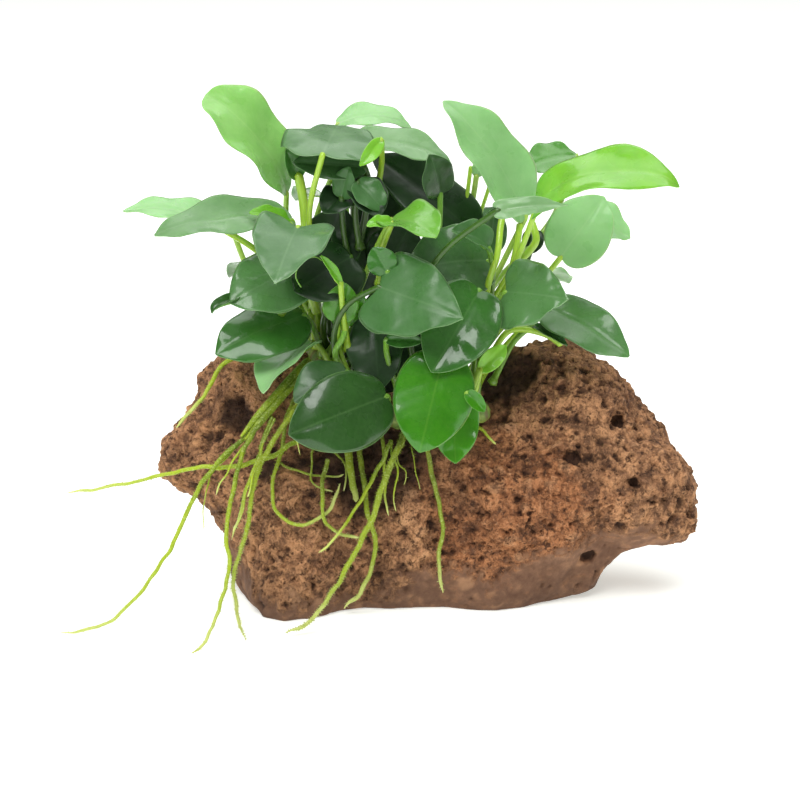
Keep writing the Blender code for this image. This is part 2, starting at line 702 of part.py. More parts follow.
def make_roots(collection, stone_tree, room):
    """Every root of the two tables as its own tube."""
    for name, start, end, points in FREE_ROOTS:
        make_root(name, free_path(points), start * MM, end * MM, collection, room)
    for name, start, end, lift, points in LYING_ROOTS:
        path = lying_path(points, start * MM, lift * MM, stone_tree)
        make_root(name, path, start * MM, end * MM, collection, room)


def make_stem(collection, path, room):
    """The creeping stem as one tube with slightly swollen rings."""
    radii = [STEM_RADIUS * (STEM_WAIST if index % 2 else 1.0) for index in range(len(path))]
    stem = tube("creeping_stem", path, radii, collection, 2)
    stem.data.materials.append(make_material("creeping_stem", COLOURS["stem"], 0.5))
    room.add(straight_samples(path), STEM_RADIUS)


def make_leaves(collection, stem_path, stone_tree, room):
    """Blades first take their room, then each stalk finds its way down."""
    leaves = [Leaf(row) for row in LEAVES]
    for leaf in leaves:
        place_blade(leaf, room, stone_tree)
        room.add(leaf.blade_samples(), BLADE_ROOM)
    sites = stem_sites(stem_path)
    for leaf in leaves:
        place_stalk(leaf, sites, room, stone_tree)
        room.add(leaf.stalk_samples(), STALK_ROOM)
        mesh_object(leaf.name, loft(leaf.name, leaf.rings()), collection, leaf.age, 0.25)


def main():
    """Build the stone, the stem, the roots and the leaves."""
    clear_scene()
    collection = make_collection("anubias_on_stone")
    cutters = make_collection("cutters")
    stem_path = smooth_path([Vector(point) * MM for point in STEM_POINTS], STEM_STATION)
    stone = make_stone(collection, cutters, stem_path)
    stone_tree = evaluated_tree(stone)
    room = Room()
    make_stem(collection, stem_path, room)
    make_roots(collection, stone_tree, room)
    make_leaves(collection, stem_path, stone_tree, room)


main()
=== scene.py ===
"""Looks of a dwarf anubias grown on a lava stone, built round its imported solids."""

import math
import random

import bmesh
import bpy
import numpy as np
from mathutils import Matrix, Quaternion, Vector, noise
from mathutils.bvhtree import BVHTree
from mathutils.kdtree import KDTree


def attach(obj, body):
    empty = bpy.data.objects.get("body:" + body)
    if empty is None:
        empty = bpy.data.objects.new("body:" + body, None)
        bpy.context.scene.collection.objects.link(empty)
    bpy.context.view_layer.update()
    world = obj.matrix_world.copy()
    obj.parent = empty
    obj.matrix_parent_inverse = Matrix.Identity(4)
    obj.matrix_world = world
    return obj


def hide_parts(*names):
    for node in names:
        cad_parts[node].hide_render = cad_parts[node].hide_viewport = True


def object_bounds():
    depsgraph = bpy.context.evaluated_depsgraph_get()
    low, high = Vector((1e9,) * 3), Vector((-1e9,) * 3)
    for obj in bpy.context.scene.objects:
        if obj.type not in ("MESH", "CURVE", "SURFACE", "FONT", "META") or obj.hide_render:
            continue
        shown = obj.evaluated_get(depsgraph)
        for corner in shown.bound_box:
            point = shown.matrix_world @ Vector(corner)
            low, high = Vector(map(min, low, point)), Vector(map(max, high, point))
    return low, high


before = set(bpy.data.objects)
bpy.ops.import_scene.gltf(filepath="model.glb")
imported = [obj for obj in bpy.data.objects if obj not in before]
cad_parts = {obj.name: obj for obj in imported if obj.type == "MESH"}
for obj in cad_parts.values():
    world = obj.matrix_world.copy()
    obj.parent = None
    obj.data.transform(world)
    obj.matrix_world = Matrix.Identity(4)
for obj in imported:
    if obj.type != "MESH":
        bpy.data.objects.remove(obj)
solid_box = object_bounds()

MM = 0.001
UP = Vector((0.0, 0.0, 1.0))
# Points of a solid that are nearer than this are one point.
SAME_PLACE = 0.001 * MM
# Seed of the noise and of the random draws, so that each run gives the same shapes.
SEED = 7
# Random places in the noise lie up to this far off, either way.
NOISE_REACH = 9
# How far a tube's ends bulge, as shares of their radii.
START_DOME = 0.5
END_DOME = 0.8

# Creeping stem: points of its middle line in mm, from the right end to the left.
STEM_POINTS = (
    (15, -15, 51), (4, -16, 49), (-8, -16, 49), (-18, -13, 53),
    (-26, -5, 59), (-30, 6, 64), (-28, 15, 65),
)
STEM_RADIUS = 2.9 * MM
STEM_RING_SPACING = 2.6 * MM
STEM_STEP = 0.4 * MM
STEM_SIDES = 24
STEM_SHADE = 0.5
# How much the ends close, and the stem's girth between the rings and what a ring adds to it.
STEM_ENDING = 0.97
STEM_WAIST = 0.93
STEM_BULGE = 0.07

# Form of a blade, as in the solids.
STALK_RADIUS = 0.75 * MM
FOOT_RADIUS = 0.95 * MM
HALF_THICKNESS = 0.42 * MM
TIP_RADIUS = 0.3 * MM
# How fast the base lobes end along the blade.
LOBE_POWER = 4
# Outline: powers of the width at the base and the tip, and depth of the base lobes.
OVAL = (0.55, 0.75, 0.4)
BLUNT = (0.7, 0.45, 0.2)
BLUNTS = ("leaf_crown_left", "leaf_light_back")
HEART = (0.35, 0.95, 0.6)
HEARTS = ("leaf_centre_large", "leaf_left_heart", "leaf_right_glossy", "leaf_pale_lip")
# Leaves that look narrower than their solid.
NARROWED = {"leaf_pale_lip": 0.55}
RING = ((-1.0, 0.0), (-0.5, 1.0), (0.5, 1.0), (1.0, 0.0), (0.5, -1.0), (-0.5, -1.0))

# Leaves: name, blade base, blade tip, width in mm, way the upper face looks,
# rise at the base and droop at the tip in degrees, cup of the margins, age.
LEAVES = (
    ("leaf_front_glossy", (12, -20, 83), (0, -33, 65), 19, (0.1, -0.9, 0.4), 20, 10, 0.2, "old"),
    ("leaf_front_bright", (3, -30, 69), (-3, -38, 46), 20, (0, -1, 0.3), 6, 14, -0.1, "young"),
    ("leaf_front_left", (-11, -29, 58), (-35, -40, 51), 20, (-0.1, -1, 0.3), 8, 12, -0.1, "old"),
    ("leaf_centre_large", (-13, -26, 85), (7.5, -38, 79.5), 22, (-0.1, -0.9, 0.5), 12, 16, -0.15, "old"),
    ("leaf_left_heart", (-33, -21, 99), (-38, -37, 88), 20, (-0.1, -0.8, 0.6), 20, 20, 0.2, "old"),
    ("leaf_right_glossy", (18.5, -20, 82.5), (33.5, -31, 83), 19, (0.2, -0.9, 0.4), 10, 16, -0.1, "mid"),
    ("leaf_left_glossy", (-32, -10, 74.5), (-54, -20, 66.5), 17.5, (-0.3, -0.8, 0.6), 12, 20, -0.1, "old"),
    ("leaf_left_pale", (-30, -8, 67), (-42, -24, 57.5), 14, (-0.7, -0.7, 0.5), 20, 30, 0.25, "pale"),
    ("leaf_small_bright", (-10, -16, 100), (1, -30, 98), 14, (0.25, -0.7, 0.7), 24, 30, 0.3, "young"),
    ("leaf_bright_right", (26, -13, 101.5), (60.5, -24, 109.5), 19, (-0.1, -0.45, 0.9), 66, 66, 0.1, "young"),
    ("leaf_tall_right", (24, -6, 99), (3, -4, 128), 18, (0.55, -0.7, 0.42), 20, 26, 0.2, "mid"),
    ("leaf_crown_left", (-37, 6, 103), (-57, 0, 129), 19, (0.65, -0.62, 0.45), 34, 34, 0.2, "young"),
    ("leaf_wing_left", (-35, -6, 98), (-69, -16, 96), 15, (0.1, -0.45, 0.9), 22, 22, 0.15, "old"),
    ("leaf_top_left", (-27, -14, 116), (-23, 8, 120), 25, (0, -0.45, 0.9), 10, 20, -0.1, "mid"),
    ("leaf_pale_lip", (16, -20, 102.3), (33, -18, 103.3), 10, (0, -0.8, 0.6), 16, 10, 0.2, "pale"),
    ("leaf_right_low", (29, -4, 75), (50, -16, 65), 14, (0.2, -0.75, 0.65), 24, 18, 0.1, "old"),
    ("leaf_left_hook", (-31, -9, 87.5), (-50, -22, 80), 19, (-0.3, -0.9, 0.4), 10, 20, -0.1, "old"),
    ("leaf_left_dark", (-20, -8, 89), (-34, -18, 82), 19, (-0.2, -0.9, 0.4), 14, 24, -0.1, "old"),
    ("leaf_centre_glossy", (14.5, -10, 88.5), (-6, -18, 88), 20, (0, -0.8, 0.6), 16, 14, 0.1, "old"),
    ("leaf_centre_dark", (-14, -15, 75), (-13, -23, 58), 15, (-0.3, -1, 0.2), 6, 12, 0.1, "old"),
    ("leaf_front_left_behind", (-21, -20, 62), (-34, -27, 56), 13, (-0.3, -0.8, 0.5), 12, 16, 0.1, "mid"),
    ("leaf_front_under", (5, -24, 60), (6, -30, 41), 13, (0.2, -1, 0.2), 6, 12, 0.15, "young"),
    ("leaf_inner_bright", (-19, -13, 73), (-23, -18, 84), 12, (-0.3, -1, 0.1), 4, 10, 0.1, "young"),
    ("leaf_inner_upper", (-18, -8, 109), (-13, -17, 101), 10, (0.2, -0.9, 0.4), 10, 20, 0.1, "old"),
    ("leaf_inner_left", (-20, -3, 105), (-27, -12, 101), 10, (-0.2, -0.8, 0.5), 16, 20, 0.1, "old"),
    ("leaf_top_mid", (-20, 0, 118), (5, -4, 113), 12, (0.2, -0.5, 0.85), 22, 30, 0.15, "mid"),
    ("leaf_top_light", (-24, 12, 120.5), (-5, 16, 119), 11, (0, -0.4, 0.9), 36, 50, 0.1, "pale"),
    ("leaf_top_under", (-16, 2, 109), (-34, -6, 114), 14, (0.1, -0.6, 0.8), 14, 16, 0.1, "old"),
    ("leaf_crown_dark", (12, 6, 92), (-15, 12, 112), 17, (0.2, -0.75, 0.65), 6, 14, 0.1, "old"),
    ("leaf_top_small", (2.5, 4, 103), (-0.5, -2, 114), 10, (0.3, -0.9, 0.3), 10, 14, 0.15, "mid"),
    ("leaf_right_round", (33.5, 4, 86.5), (45, 10, 101.5), 17, (0.1, -0.9, 0.3), 4, 14, 0.1, "mid"),
    ("leaf_right_pale", (38, 18, 97), (52.5, 16, 89.5), 13, (0.2, -0.6, 0.75), 20, 20, 0.1, "pale"),
    ("leaf_light_back", (38.5, 18, 111), (26, 14, 109), 12, (0, -0.6, 0.8), 18, 20, 0.1, "young"),
    ("leaf_wing_far", (-52, 18, 92), (-80, 14, 97), 12, (0, -0.35, 0.95), 20, 26, 0.1, "pale"),
    ("leaf_centre_fill", (-1, -10, 71), (-4, -16, 55), 14, (-0.1, -1, 0.3), 8, 14, 0.1, "old"),
    ("leaf_core_dark", (-12, -3, 84), (-25, -10, 96), 18, (0.1, -0.9, 0.4), 8, 18, 0.1, "old"),
    ("leaf_core_upper", (-4, 4, 94), (-22, -2, 104), 16, (0.1, -0.8, 0.6), 10, 18, 0.1, "old"),
    ("leaf_back_upper_left", (-22, 20, 98), (-36, 38, 96), 15, (-0.2, 0.6, 0.8), 20, 24, 0.1, "mid"),
    ("leaf_back_upper_right", (11, 20, 94), (19, 42, 92), 16, (0.1, 0.6, 0.8), 20, 24, 0.1, "old"),
    ("leaf_back_middle", (-13, 20, 87), (-19, 44, 80), 17, (0, 0.6, 0.8), 22, 26, 0.1, "old"),
    ("leaf_back_left", (-34, 18, 82), (-54, 32, 76), 16, (-0.4, 0.5, 0.8), 20, 24, 0.1, "old"),
    ("leaf_back_right", (20, 16, 78), (38, 34, 74), 16, (0.4, 0.6, 0.8), 22, 24, 0.1, "old"),
    ("leaf_back_low", (-6, 18, 72), (-2, 40, 60), 15, (0, 0.7, 0.7), 24, 22, 0.1, "young"),
    ("leaf_back_low_left", (-24, 20, 74), (-34, 38, 62), 14, (-0.2, 0.7, 0.7), 22, 22, 0.1, "mid"),
)
# A solid's blade may stand some steps along the line of sight from its place in the table. The
# step is found where the blade's corners at these shares of its length fit best, and corners
# that are further than this from the blade's belong to the stalk.
SIGHT = Vector((0.0, 1.0, -0.25)).normalized()
SHIFT_STEP = 1.0 * MM
SHIFT_STEPS = 10
MATCH_SHARES = (0.22, 0.48, 0.76)
OWN_CORNER = 0.02 * MM
# Where the solid blade has its corners, and how it thins toward its tip.
BLADE_STATIONS = (0.06, 0.22, 0.48, 0.76, 0.93, 1.0)
THINS_FROM = 0.8
THINS_BY = 0.45

# Fine form of a blade.
ROWS = 46
COLUMNS = 20
COLUMN_SPREAD = 0.85
SKIN_THICKNESS = 0.24 * MM
MARGIN_THINNING = 0.55
GROOVE_DEPTH = 0.28 * MM
GROOVE_WIDTH = 0.55 * MM
RIB_DEPTH = 0.03 * MM
RIB_SPACING = 3.4 * MM
RIB_SLANT = 0.7
RIB_RISE = 3.0
# The relief fades out over this share of the length at the base and the tip.
FADE_SPAN = 0.15
# Waves of the margin: how many along the blade, shift between its sides, and their depth
# on a blade of that half width.
WAVES = (1.6, 2.8)
WAVE_LEAN = 0.35
WAVE_HALF_WIDTH = 10 * MM
WAVE_DEPTH = 0.9 * MM
SWELL_DEPTH = 0.65 * MM
SWELL_SIZE = 9.0 * MM
# Half width of a leaf whose veins and margin have their full width.
FULL_WIDTH = 9.0 * MM
MOST_SCALE = 3.0
# The stalk runs on under the blade as the raised midrib.
MIDRIB_STEPS = 20
MIDRIB_END = 0.82
MIDRIB_START_SIZE = 0.75
MIDRIB_THINNING = 0.6
MIDRIB_SINK = 0.5 * MM
MIDRIB_SINK_SPAN = 0.08
MIDRIB_COVER = 0.3
STALK_STEP = 0.8 * MM
STALK_SIDES = 12
FOOT_DIP = 0.9 * MM
FOOT_SWELLING = 0.45
FOOT_SPAN = 0.12
PETIOLE_SHADE = 0.5

# Small leaves that are in the look only: as the leaves above, and the stalk's points in mm.
SMALL_LEAVES = (
    ("bud_left", (-33.6, -5, 109), (-36.4, -7, 116.5), 5, (0.3, -1, 0.2), 4, 10, 0.8, "mid",
     ((-30, -4, 76), (-31.5, -5, 88), (-31.1, -6, 98))),
    ("bud_bright", (-9.8, -21, 100.1), (-16, -23, 99.7), 4.5, (0, -0.6, 0.8), 10, 20, 0.3, "young",
     ((-13, -14, 84), (-12.5, -18, 92))),
    ("lobe_round", (-10.8, -24, 88.5), (-14.5, -24, 94.5), 7.5, (-0.2, -0.9, 0.4), 6, 8, 0.1, "old",
     ((-14, -16, 72), (-11, -21, 80))),
    ("leaf_under_top", (-16.4, -8, 111.8), (-34.8, -8, 113.2), 8.5, (0, -0.85, 0.5), 6, 10, 0.15, "satin",
     ((-18, -6, 92), (-16, -7, 104))),
    ("leaf_grey_small", (-22.5, -9, 104.5), (-20.5, -11, 112.6), 6.5, (-0.2, -0.9, 0.3), 6, 10, 0.1, "satin",
     ((-20, -6, 84), (-22, -7, 95))),
    ("leaf_grey_low", (-18.4, -12, 109), (-12, -14, 102), 8, (0.3, -0.8, 0.4), 12, 20, 0.15, "satin",
     ((-18, -8, 92), (-19, -9, 100))),
    ("leaf_inner_front", (-23.5, -19, 75), (-21.4, -19, 84.6), 9, (0.1, -1, 0.1), 4, 10, 0.1, "lime",
     ((-20, -14, 58), (-23, -17, 67))),
    # Leaves with the deep skin carry painted shade; the shade leaves are dark sheets in shaded gaps between
    # the leaves.
    ("leaf_shade_left", (-27.7, -2, 85), (-22, -4, 101), 16, (-0.1, -1, 0.2), 6, 8, 0.1, "deep",
     ((-26, 0, 68), (-27, -1, 77))),
    ("leaf_shade_middle", (-12, -2, 84), (-5, -4, 97), 15, (0.1, -1, 0.2), 6, 8, 0.1, "deep",
     ((-12, 0, 66), (-13, -1, 75))),
    ("leaf_shade_low", (-15, 5, 51), (-16, 6, 68), 20, (0.0, -1, 0.1), 6, 8, 0.1, "deep",
     ((-12, 2, 47), (-14, 4, 49))),
    ("leaf_behind_right", (15, 2, 88), (16.6, 2, 100), 8, (0.1, -1, 0.2), 4, 8, 0.1, "satin",
     ((12, 0, 70), (14, 1, 80))),
    ("leaf_dark_right", (27.5, 14, 92), (26.5, 13, 86), 6, (-0.2, -0.9, 0.3), 10, 14, 0.1, "deep",
     ((22, 8, 76), (26, 12, 86))),
    ("leaf_curled", (14.3, -17, 93), (5, -20, 98), 7.5, (-0.1, -0.6, 0.8), 26, 30, 0.6, "satin",
     ((15, -13, 78), (15.5, -14, 87))),
    ("leaf_back_tiny", (12, 12, 106.6), (13.4, 12, 111.4), 3.5, (0, -0.9, 0.4), 6, 10, 0.2, "pale",
     ((9, 10, 92), (11, 12, 100))),
    ("leaf_thin_right", (26, -8, 71.4), (34.6, -12, 67), 3.4, (0.1, -0.6, 0.8), 16, 20, 0.5, "old",
     ((16, -12, 58), (21, -9, 67))),
    ("leaf_spur", (12.2, -24, 63.5), (18.8, -20, 68.8), 5, (0.2, -0.9, 0.4), 20, 14, 0.3, "young",
     ((10, -21, 53), (11, -24, 58))),
    ("bud_front", (8.7, -33, 59.8), (13, -34, 55.4), 3.8, (0.2, -1, 0.2), 20, 24, 0.7, "fresh",
     ((8, -20, 52), (8.2, -28, 57))),
    ("leaf_strip", (-11.2, -27, 72), (-2, -29, 72), 4.2, (0, -0.9, 0.4), 8, 12, 0.2, "old",
     ((-7, -15, 50), (-8.5, -18, 57), (-11, -23, 67))),
    ("leaf_hooked", (-47.8, -20, 81.4), (-54.4, -24, 78), 3.6, (-0.3, -0.6, 0.8), 10, 60, 0.5, "old",
     ((-38, -12, 76), (-43, -17, 80))),
    ("leaf_under_wing", (-35.4, -11, 98), (-45.4, -14, 101.4), 6, (0, -0.5, 0.8), 24, 20, 0.3, "young",
     ((-31, -8, 86), (-33, -9, 93))),
    ("leaf_fold_top", (-12.4, -11, 119.4), (-17.8, -15, 113.4), 4, (0.3, -0.9, 0.3), 14, 20, 0.3, "young",
     ((-14, -5, 104), (-12.5, -6, 112))),
    ("leaf_inner_curl", (-22.5, -22, 85), (-27.4, -24, 92.4), 2.6, (0.5, -0.8, 0.2), 14, 24, 0.5, "young",
     ((-21, -17, 68), (-22, -20, 77))),
)
# Bare stalks between the leaves: name, radius in mm, tone, points in mm.
PETIOLES = (
    ("petiole_left", 1.25, "young", ((-29, -5, 74), (-31.4, -6, 84), (-31.6, -6, 94), (-32.2, -6, 103),
     (-33.4, -5.4, 109.5))),
    ("petiole_wing", 0.8, "young", ((-31, -2, 74), (-38, -3, 84), (-45, -6, 91), (-51.4, -10, 95.9))),
    ("petiole_back_a", 0.55, "young", ((7.5, 6, 84), (8.3, 8, 92), (9.3, 10, 99.4), (10.5, 12, 109))),
    ("petiole_back_b", 0.5, "young", ((9.5, 6, 80), (10.4, 8, 88), (11.9, 10, 93.3), (15.4, 12, 104))),
    ("petiole_curved_a", 0.85, "young", ((13.6, -12, 68), (13.9, -14, 76.7), (14.3, -15, 83.3),
     (16.5, -15, 90.9), (17.4, -12, 97.6), (18.2, -10, 101))),
    ("petiole_curved_b", 0.95, "young", ((17, -8, 74), (20, -9, 83), (22.3, -9, 88), (24.8, -8.4, 90.6),
     (26.6, -8, 93.6), (25.6, -6, 97.4))),
    ("petiole_curved_c", 0.85, "young", ((16, -9, 70), (17.1, -10, 75.8), (19.3, -10, 82.3),
     (21.5, -9, 91.1), (22.4, -8, 97.4))),
    ("petiole_low_right", 0.8, "young", ((13, -13, 60), (18.4, -10, 69), (22.7, -9, 70.6), (29.1, -9, 69.3),
     (33, -10, 66.9))),
    ("petiole_speckled", 0.8, "pale", ((9, -21, 52), (9.3, -27, 57), (11.1, -25, 61.7), (12.9, -22, 66.1),
     (14.5, -20, 72.3), (16, -18, 79.4))),
    ("petiole_inner", 0.8, "old", ((-20, -13, 58), (-24, -19, 66), (-22, -19, 71), (-20.5, -17, 76))),
    ("curl_pale", 0.16, "satin", ((-27, -28, 92), (-28.5, -30, 93.3), (-31.2, -31, 92.7),
     (-32.9, -31, 90.5), (-33.2, -31, 88.2), (-32, -31, 86))),
)

# Free roots: name, radius at the start and end in mm, points in mm.
FREE_ROOTS = (
    ("root_long_left", 0.9, 0.5, ((-48.3, -26.2, 45.2), (-54, -29, 40), (-59, -30, 33), (-64, -31, 22),
     (-71, -34, 11), (-79, -38, 3), (-86, -41, 1), (-92, -43, 1))),
    ("root_drop_left", 0.9, 0.5, ((-46.4, -27.6, 45), (-49, -32, 36), (-51, -36, 26), (-50, -40, 19),
     (-51, -44, 13), (-53, -49, 7), (-56, -55, 2), (-58, -59, 1))),
    ("root_sideways", 1.0, 0.5, ((-21, -14, 49.5), (-26, -16, 47.5), (-33, -19, 44), (-41, -24, 41),
     (-49, -26, 39), (-57, -26, 39), (-69, -24, 36), (-81, -23, 33), (-92, -22, 31))),
    ("root_fuzzy", 1.0, 0.5, ((-28, -11, 57), (-32, -18, 55), (-36, -25, 51), (-41, -30, 44),
     (-44, -33, 37), (-45, -35, 30), (-47, -38, 22), (-49, -41, 15), (-48, -45, 8), (-46, -49, 1))),
    ("root_short", 0.7, 0.5, ((-43, -29, 41), (-46, -29, 35), (-48, -27, 28), (-50, -25, 21))),
    ("root_front", 1.2, 0.6, ((-6, -20.8, 48), (-8, -27, 45), (-11, -31, 39), (-15, -34, 27),
     (-20, -37, 18), (-25, -40, 10), (-31, -42, 3), (-36, -43, 1))),
    ("root_far_left", 1.0, 0.6, ((-34, 3, 66.5), (-42, -1, 66), (-49, -5, 63), (-54, -8, 60),
     (-57, -11, 55), (-60, -13, 51), (-65, -14, 46))),
)
BUNDLE = ("root_bundle", 2.1, 1.6, ((-31, -10, 62), (-36, -16, 58), (-42, -22, 52), (-47, -26, 46.5)))
# Roots lying on the stone: name, radii, how far off the stone in mm, and
# x and z of the points in mm.
LYING_ROOTS = (
    ("root_loop", 0.7, 0.6, 0.6, ((-34, 54), (-37, 48), (-38, 41), (-40, 34), (-39, 28), (-35, 25),
     (-30, 25), (-25, 29), (-23, 34))),
    ("root_hook", 0.8, 0.5, 3.4, ((-26, 40), (-27, 36), (-27, 32), (-27, 27), (-24, 23), (-18, 21))),
    ("root_cross", 0.8, 0.4, 2.6, ((-10, 45), (-11, 43), (-14, 37), (-17, 31), (-23, 23), (-28, 18))),
    ("root_inner", 1.0, 0.7, 0.2, ((-16, 47), (-18, 42), (-17, 34), (-16, 26), (-14, 19), (-15, 12),
     (-18, 6), (-22, 2))),
    ("root_right", 0.9, 0.6, 0.0, ((-1, 45), (0, 38), (2, 29), (3, 20), (2, 15), (3, 6))),
    ("root_thick_inner", 1.6, 1.0, 0.2, ((-21, 46), (-21, 41), (-20, 36), (-19, 29))),
)
# Thin roots that are in the look only: radii in mm, and points in mm, free or as x and z on the stone.
THIN_FREE = (
    (0.45, 0.15, ((-44, -24, 50), (-50.8, -27, 42.3), (-54.8, -28, 38.7), (-56.7, -29, 31.2),
     (-57.2, -30, 23))),
    (0.45, 0.3, ((-43, -24, 50), (-48.3, -28, 42.6), (-52.2, -30, 36.7), (-53.8, -30, 33))),
    (0.42, 0.22, ((-39, -28, 52), (-42, -33, 46), (-45, -34, 37.8), (-47.5, -36, 28.6), (-49.7, -37, 23))),
    (0.4, 0.3, ((-43, -33, 44), (-44, -34, 39.4), (-45.7, -35, 33.5))),
    (0.35, 0.2, ((-31, -16, 60), (-32.9, -22, 54.8), (-33.6, -25, 45.7), (-32.9, -25, 41.8))),
)
THIN_LYING = (
    (0.5, 0.35, ((-38, 38), (-36.4, 37.1), (-30.6, 35.5), (-24.2, 35), (-22, 35.5))),
    (0.45, 0.3, ((-30, 43), (-30, 41), (-30.3, 36.5), (-29.6, 33.4), (-24.8, 31.5))),
    (0.5, 0.3, ((-30, 44), (-27.5, 41.8), (-22.9, 39.2), (-21.2, 35.5), (-22, 31.3))),
    (0.7, 0.35, ((-12.4, 46), (-12.1, 42.8), (-11.8, 37.1), (-11.1, 29.2), (-10.6, 26))),
    (0.3, 0.15, ((-8.6, 43), (-8.1, 39.2), (-6.3, 37.1), (-7, 33.9))),
    (0.22, 0.12, ((-5, 44), (-4.8, 41.8), (-3.8, 37.6), (-2.7, 32.9))),
    (0.45, 0.2, ((-10, 44), (-9.8, 41), (-8.3, 37.1), (-9.3, 31.3), (-8.6, 27.1))),
    (0.8, 0.4, ((8, 48), (10.3, 46.7), (12.9, 45.7), (14.9, 44.1), (16.4, 42.6))),
)
# Roots in the shade of the leaves, and how much painted shade dulls their colour.
SHADED_ROOTS = {"root_right": 0.8, "root_loop": 0.4, "root_hook": 0.6, "root_inner": 0.6,
              "root_thick_inner": 0.7, "root_thin_lying_0": 0.9, "root_thin_lying_1": 0.9,
              "root_thin_lying_2": 0.9}
# Where roots that part from the bundle begin inside it, in mm.
ROOT_LEADS = {
    "root_long_left": ((-40.5, -20.5, 53.6), (-45.2, -24, 48.2)),
    "root_drop_left": ((-41, -22.6, 52.4), (-44.6, -26, 47.6)),
    "root_short": ((-40, -22, 51), (-42.4, -26, 45)),
    "root_fuzzy": ((-25, -8, 59),),
}
ROOT_STEP = 5.0 * MM
FINE_STEP = 0.6 * MM
ROOT_SIDES = 10
# Lying roots keep this gap to the stone, which is probed about their middle line.
STONE_GAP = 0.35 * MM
PROBE_SPREAD = 1.3
PROBE_START = 200 * MM
# Thin roots lie this much further off.
THIN_LIFT = 0.3 * MM
# Roots and hairs keep this gap to the sides of the solids' box and to the table.
BOX_GAP = 0.1 * MM
# Small bends, uneven girth and the thin end of a root, which is slimmer than its solid.
BEND_DEPTH = 0.5 * MM
BEND_SIZE = 4 * MM
BENDS_FROM = 6.0
UNEVENNESS = 0.16
UNEVEN_SIZE = 2.2 * MM
ROOT_SLIMNESS = 0.72
ROOT_TAPER = 0.75
ROOT_TAPER_FROM = 0.93
ROOT_TAPER_SPAN = 0.07
# Other roots get a random dullness up to this one.
MOST_DULL = 0.5
# Strands of the bundle: turn about its middle line, distance from it and radius in mm.
STRANDS = ((0.3, 0.95, 1.15), (2.3, 1.0, 1.05), (4.3, 1.05, 0.95), (5.4, 0.9, 0.75))
STRAND_TWIST = 0.5
STRAND_TAPER = 0.65
STRAND_TAPER_FROM = 0.72
STRAND_TAPER_SPAN = 0.28
BUNDLE_SHADE = 0.1
# The bundle is near the stem, so its colour fades as a root's does up to this share.
BUNDLE_REACH = 0.35
# Hairs: the roots with many, hairs per mm of root, width, share of the root's radius that they start
# at, lean along the root, length in mm, and how much further along the root their tip looks.
FUZZY = ("root_front", "root_fuzzy")
FUZZY_HAIRS = 22.0
HAIRS = 5.0
BUNDLE_HAIRS = 1.5
THIN_HAIRS = 1.0
HAIR_WIDTH = 0.08 * MM
HAIR_FOOT = 0.8
HAIR_LEAN = (-0.5, 0.8)
HAIR_LENGTH = (0.25, 0.8)
HAIR_FADE = 0.3

# Stone: size of its faces, how they are smoothed, and size, height and level of its lumps,
# crumbs and grains.
STONE_FINE = 0.62 * MM
STONE_SMOOTHING = 4
STONE_SOFTNESS = 0.6
LUMP_SIZE = 9.0 * MM
LUMP_HEIGHT = 0.6 * MM
CRUMB_SIZE = 4.4 * MM
CRUMB_HEIGHT = 1.7 * MM
CRUMB_LEVEL = 0.6
GRAIN_SIZE = 2.6 * MM
GRAIN_HEIGHT = 0.8 * MM
GRAIN_LEVEL = 0.45
FIRM_SIZE = 6 * MM
# Crumbs and grains are pushed about by a noise of that depth and size.
WARP = 1.6 * MM
WARP_SIZE = 2.6 * MM
# The relief begins above the flat underside.
FLAT_UNDER = 0.4 * MM
FLAT_TO = 3.0 * MM
# Share of the relief on the smooth skin, and how the skin gives way to crust upward.
SKIN_RELIEF = 0.2
RAGGED_SIZE = 16 * MM
RAGGED_REACH = 7 * MM
CRUST_SPAN = 10 * MM
# Upper edge of the smooth skin low on the stone: x and height in mm, from left to right.
SKIN_LINE = ((-62, 16), (-48, 8), (-33, 4), (0, 9), (17, 12), (32, 17), (44, 23), (52, 23), (60, 15),
             (72, 12))
# Painted shade: the stone is darker near the table.
FLOOR_SHADE_FROM = 3 * MM
FLOOR_SHADE_SPAN = 12 * MM
# Hollows darkened with painted shade, as if in deep shadow: x, y, z and radius in mm.
SHADED_HOLLOWS = ((-10, -21, 40, 11), (-16, -20, 33, 10), (-22, -18, 38, 9), (-49.5, -4, 47, 5.5),
                (19, -3, 57, 9), (25, -3, 58, 6), (-43, -16, 36.6, 4.5), (-30, -18, 40, 6))
HOLLOW_SHADE_STRENGTH = 1.6
# Where the crust is the warmest orange: middle and spread in mm.
WARM_PLACE = (24, -20, 24)
WARM_SPREAD = 26.0 * MM
# Pores: number, radii, how rare the large ones are, greatest depth, share left in the smooth
# skin, spread of their long ways, width and depth as shares of the radius, and ragged rims.
PORES = 3600
SMALLEST_PORE = 0.6 * MM
LARGEST_PORE = 2.2 * MM
PORE_RARITY = 5.0
PORE_DEPTH = 1.3 * MM
SKIN_PORES = 0.15
PORE_WAYS = (1.0, 0.6, 0.5)
PORE_NARROWNESS = (0.35, 0.95)
PORE_STEEPNESS = (0.6, 1.3)
PORE_SEARCH = 1.2
PORE_RAG = 0.8 * MM
PORE_RAGGEDNESS = 0.5
